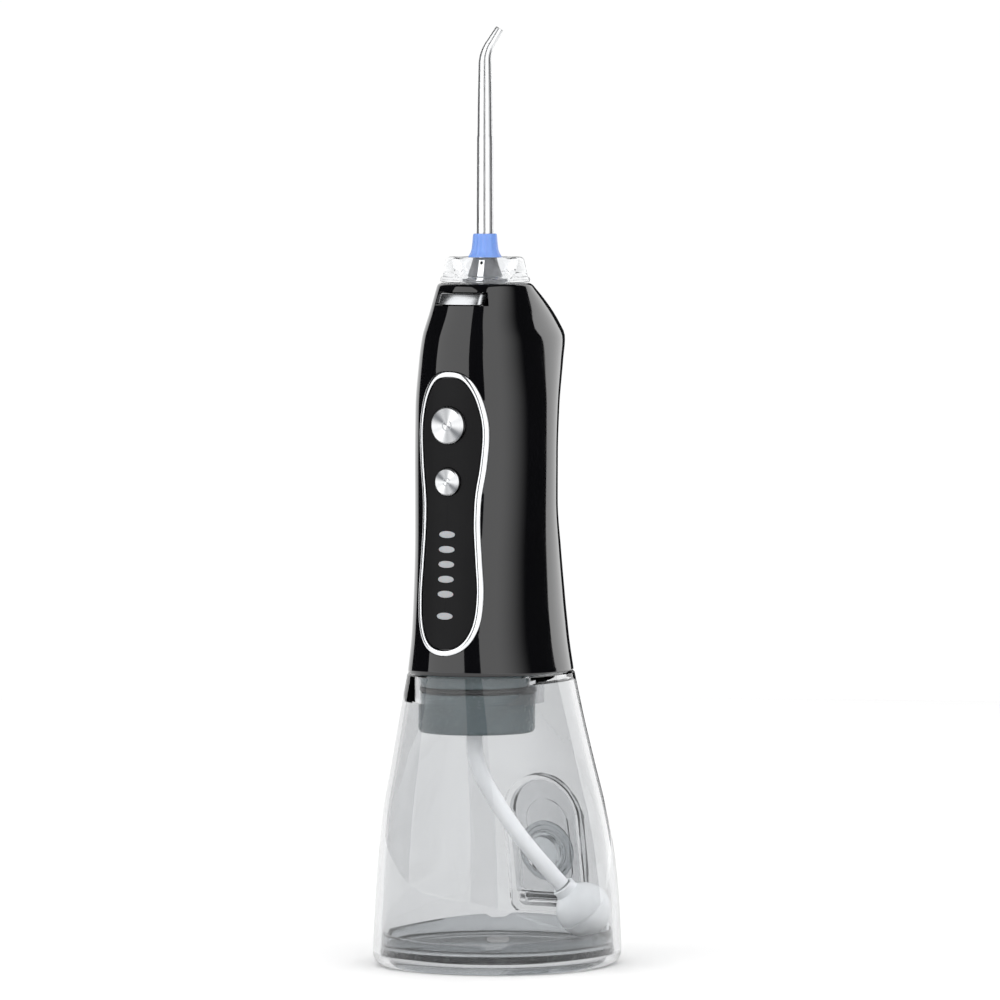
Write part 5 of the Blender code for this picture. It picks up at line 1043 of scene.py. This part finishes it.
def on_cone(up, sideways, out):
    """A point on the core's cone, beside the middle line of the painted highlight."""
    radius = 7.2 - (up - 0.4) * (2.7 / 6.2) + out
    angle = highlight_angle + sideways / radius
    return Vector((radius * math.cos(angle), NOZZLE_Y + radius * math.sin(angle), DIAL_LOW + up))


highlight_profile = ((-1.0, -0.15), (-1.0, 0.03), (-0.9, 0.06), (-0.3, 0.06), (0.3, 0.06), (0.9, 0.06),
                (1.0, 0.03), (1.0, -0.15))
highlight_rings = [[on_cone(up, w, o) for w, o in highlight_profile] for up in (0.5, 0.6, 2.0, 3.5, 5.0, 6.4, 6.5)]
painted_highlight = draw_solid("painted_highlight_stripe", highlight_rings, 60.0)
# Painted highlight in white: matt, with a slight fall-off at its edges.
highlight_white, tree, shader = finish_material("white_painted_highlight", "#f2f2f2", IOR=1.5)
mould_skin(tree, shader, 0.15, 0.003, 0.45, 0.6, ("#f5f5f5", "#e9eaeb"), 1.5)
painted_highlight.data.materials.append(highlight_white)
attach(painted_highlight, "nozzle_dial")
DOT_UP = 5.75
dot_rings = [[on_cone(DOT_UP + size * math.sin(a), size * math.cos(a), out)
              for a in (2 * math.pi * i / 24 for i in range(24))]
             for size, out in ((0.5, 0.0), (0.5, 0.1), (0.42, 0.13), (0.1, 0.14))]
dot = draw_solid("core_dark_dot", dot_rings, 60.0)
dot.data.materials.append(satin_black)
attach(dot, "nozzle_dial")

# ---- Tip collar ----------------------------------------------------------------------------
# The coloured ring that tells one user's tip from another's: light blue polypropylene, flared
# at its foot, with twelve soft grips.
COLLAR_LOW = DIAL_LOW + 7.5


def collar_ring(up, radius, grip):
    """A ring of the collar, with twelve soft hollows of the given depth."""
    return [Vector((r * math.cos(a), NOZZLE_Y + r * math.sin(a), COLLAR_LOW + up)) for r, a in
            ((radius * (1 - grip * (0.5 - 0.5 * math.cos(12 * a))), a)
             for a in (2 * math.pi * i / 144 for i in range(144)))]


collar_steps = [(0.0, 5.0, 0.0), (0.15, 5.25, 0.0), (0.5, 5.3, 0.01), (1.0, 5.0, 0.03), (1.7, 4.6, 0.05),
                (2.4, 4.35, 0.055), (3.2, 4.2, 0.055), (4.6, 4.02, 0.055), (6.4, 3.88, 0.05),
                (7.2, 3.8, 0.02), (7.6, 3.72, 0.0), (7.75, 3.5, 0.0), (7.75, 2.95, 0.0), (0.0, 2.95, 0.0)]
collar = draw_wall("blue_tip_collar", [collar_ring(*step) for step in collar_steps], 40.0)
# Polypropylene, moulded light blue: waxy satin with a little depth to its colour.
blue_polypropylene, tree, shader = finish_material("blue_polypropylene_moulded", "#6587c8", IOR=1.49,
                                                   Subsurface_Weight=0.15, Subsurface_Scale=0.001)
mould_skin(tree, shader, 0.5, 0.004, 0.30, 0.42, ("#6183c4", "#698bcd"), 5.0)
collar.data.materials.append(blue_polypropylene)
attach(collar, "jet_tip")
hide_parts("tip_collar")

# ---- Jet tube ------------------------------------------------------------------------------
# Thin stainless tube, drawn and polished: a faint swaged step two fifths of the way up, a slow
# taper, a bend near its end and an open, rounded mouth.
TIP_TOP = HANDLE_TOP + 81.4
RECEIVER_LOW = HANDLE_TOP - 26.0
tube_high = COLLAR_LOW + 7.4
stations = [(RECEIVER_LOW + 4.4, 5.4), (COLLAR_LOW - 0.6, 5.4)]
stations += [(tube_high + up, width) for up, width in
             ((0.0, 5.4), (10.0, 5.3), (20.0, 5.2), (30.9, 5.12), (31.1, 5.1), (31.35, 4.9), (31.8, 4.87),
              (41.0, 4.65), (48.0, 4.4), (54.5, 4.1))]
path = [(Vector((0.0, NOZZLE_Y, z)), Vector((0, 0, 1)), width / 2) for z, width in stations]
bend_start, bend_radius, bend_turn = path[-1][0], 12.0, math.radians(32.0)
for step in range(1, 11):
    angle = bend_turn * step / 10
    spot = bend_start + rightward * bend_radius * (1 - math.cos(angle))
    spot += Vector((0, 0, bend_radius * math.sin(angle)))
    way = rightward * math.sin(angle) + Vector((0, 0, math.cos(angle)))
    path.append((spot, way, (4.1 - 1.2 * step / 10) / 2))
way = rightward * math.sin(bend_turn) + Vector((0, 0, math.cos(bend_turn)))
reach = (TIP_TOP - 0.7 - path[-1][0].z) / way.z
mouth = path[-1][0] + way * reach
path += [(mouth - way * back, way, radius) for back, radius in
         ((0.25, 1.33), (0.08, 1.27), (0.0, 1.1), (0.0, 0.66), (0.1, 0.56), (1.6, 0.55))]


def leaning_ring(centre, way, radius, count=48):
    """A circle across the tube's bent path."""
    side = Vector((-rightward.y, rightward.x, 0.0))
    across = side.cross(way).normalized()
    return [centre + (across * math.cos(a) + side * math.sin(a)) * radius
            for a in (2 * math.pi * i / count for i in range(count))]


tip = draw_solid("steel_jet_tube", [leaning_ring(*spot) for spot in path], 30.0)
# Stainless steel tube, drawn and buffed: satin bright, very slightly uneven in its sheen.
drawn_steel, tree, shader = finish_material("drawn_stainless_tube", "#e6e7e8", Metallic=1.0)
mould_skin(tree, shader, 5.0, 0.0005, 0.28, 0.34, ("#eaebec", "#dfe0e1"), 9.0)
tip.data.materials.append(drawn_steel)
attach(tip, "jet_tip")
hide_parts("jet_tube")

# ---- Charging port cover -------------------------------------------------------------------
# Soft black flap pressed into the recess at the casing's back, hinged at its top edge, with a
# fingernail lip along its foot and a slightly domed face.


def on_back(outline, out):
    """An outline laid on the handle's back, moved outwards."""
    return [Vector((p.x, back_y(p.x, p.y, out), p.y)) for p in outline]


def shrunk_port(share):
    return [Vector((p.x * share, PORT_Z + (p.y - PORT_Z) * share)) for p in port_outline(0.0)]


cover_rings = [on_back(port_outline(grow), out) for grow, out in ((0.0, -0.9), (0.0, -0.1), (-0.12, 0.08))]
cover_rings += [on_back(shrunk_port(share), out) for share, out in
                ((0.9, 0.14), (0.84, 0.1), (0.6, 0.12), (0.3, 0.14), (0.05, 0.15))]
cover = draw_solid("rubber_port_cover", cover_rings, 50.0)
LIP_Z = PORT_Z - 3.1
lip_rings = []
for step in range(13):
    x = -2.6 + 5.2 * step / 12
    tall = 0.5 * math.sqrt(max(1.0 - (abs(x) / 2.75) ** 2, 0.05))
    rows = ((-tall, -0.3), (-tall, 0.2), (-tall * 0.5, 0.5), (tall * 0.5, 0.5), (tall, 0.2), (tall, -0.3))
    ring = [Vector((x, back_y(x, LIP_Z + up, out), LIP_Z + up)) for up, out in rows]
    lip_rings.append(ring + ring[:2])
carve(cover, draw_solid("nail_lip", lip_rings), "UNION")
tidy_mesh(cover, 50.0)
cover.data.materials.append(nitrile)
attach(cover, "port_cover")
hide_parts("charge_port_cover")

# ---- Inner works ---------------------------------------------------------------------------
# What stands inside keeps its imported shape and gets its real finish: nickel-plated motor and
# steel pins, acetal gear and yoke, glass-filled frame, sleeved cell, masked board.
plated_steel, tree, shader = finish_material("nickel_plated_steel", "#b4b5b7", Metallic=1.0)
mould_skin(tree, shader, 0.8, 0.003, 0.18, 0.30, ("#b8b9bb", "#acadb0"), 6.0)
white_acetal, tree, shader = finish_material("white_acetal_moulded", "#e9e9e6", IOR=1.48)
mould_skin(tree, shader, 0.4, 0.003, 0.28, 0.40, ("#ecece9", "#e2e2de"), 5.0)
glass_filled, tree, shader = finish_material("glass_filled_nylon_moulded", "#3d3e40", IOR=1.53)
mould_skin(tree, shader, 0.25, 0.006, 0.40, 0.60, ("#38393b", "#454648"), 4.0)
turned_brass, tree, shader = finish_material("turned_brass", "#c9a45a", Metallic=1.0)
mould_skin(tree, shader, 0.3, 0.003, 0.16, 0.30, ("#cfab62", "#bd9850"), 3.0)
solder_mask, tree, shader = finish_material("green_solder_mask", "#0f4a2c", IOR=1.5)
mould_skin(tree, shader, 0.6, 0.004, 0.22, 0.36, ("#0d4529", "#135535"), 4.0)
cell_sleeve, tree, shader = finish_material("blue_pvc_cell_sleeve", "#1c5aa0", IOR=1.53)
mould_skin(tree, shader, 3.0, 0.02, 0.18, 0.32, ("#1a569b", "#2262ab"), 12.0)

inner_finishes = {
    plated_steel: ("fill_hinge_pin", "motor_can", "motor_shaft", "gear_axle", "crank_pin", "charge_jack",
                   "latch_spring", "dock_screw_1", "dock_screw_2", "dock_screw_3", "motor_screw_1",
                   "motor_screw_2"),
    white_acetal: ("crank_gear", "piston_yoke"),
    glass_filled: ("chassis", "pump_cylinder", "pump_head", "nozzle_receiver", "latch_plate"),
    slate_abs: ("suction_barb",),
    satin_black: ("power_switch", "mode_switch"),
    silicone: ("inlet_tube", "outlet_tube"),
    nitrile: ("piston_seal", "inlet_valve", "outlet_valve", "receiver_seal", "tip_stem_seal"),
    turned_brass: ("motor_pinion",),
    solder_mask: ("circuit_board",),
    cell_sleeve: ("battery_cell",),
}
for material, nodes in inner_finishes.items():
    for node in nodes:
        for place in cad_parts[node].material_slots:
            place.material = material
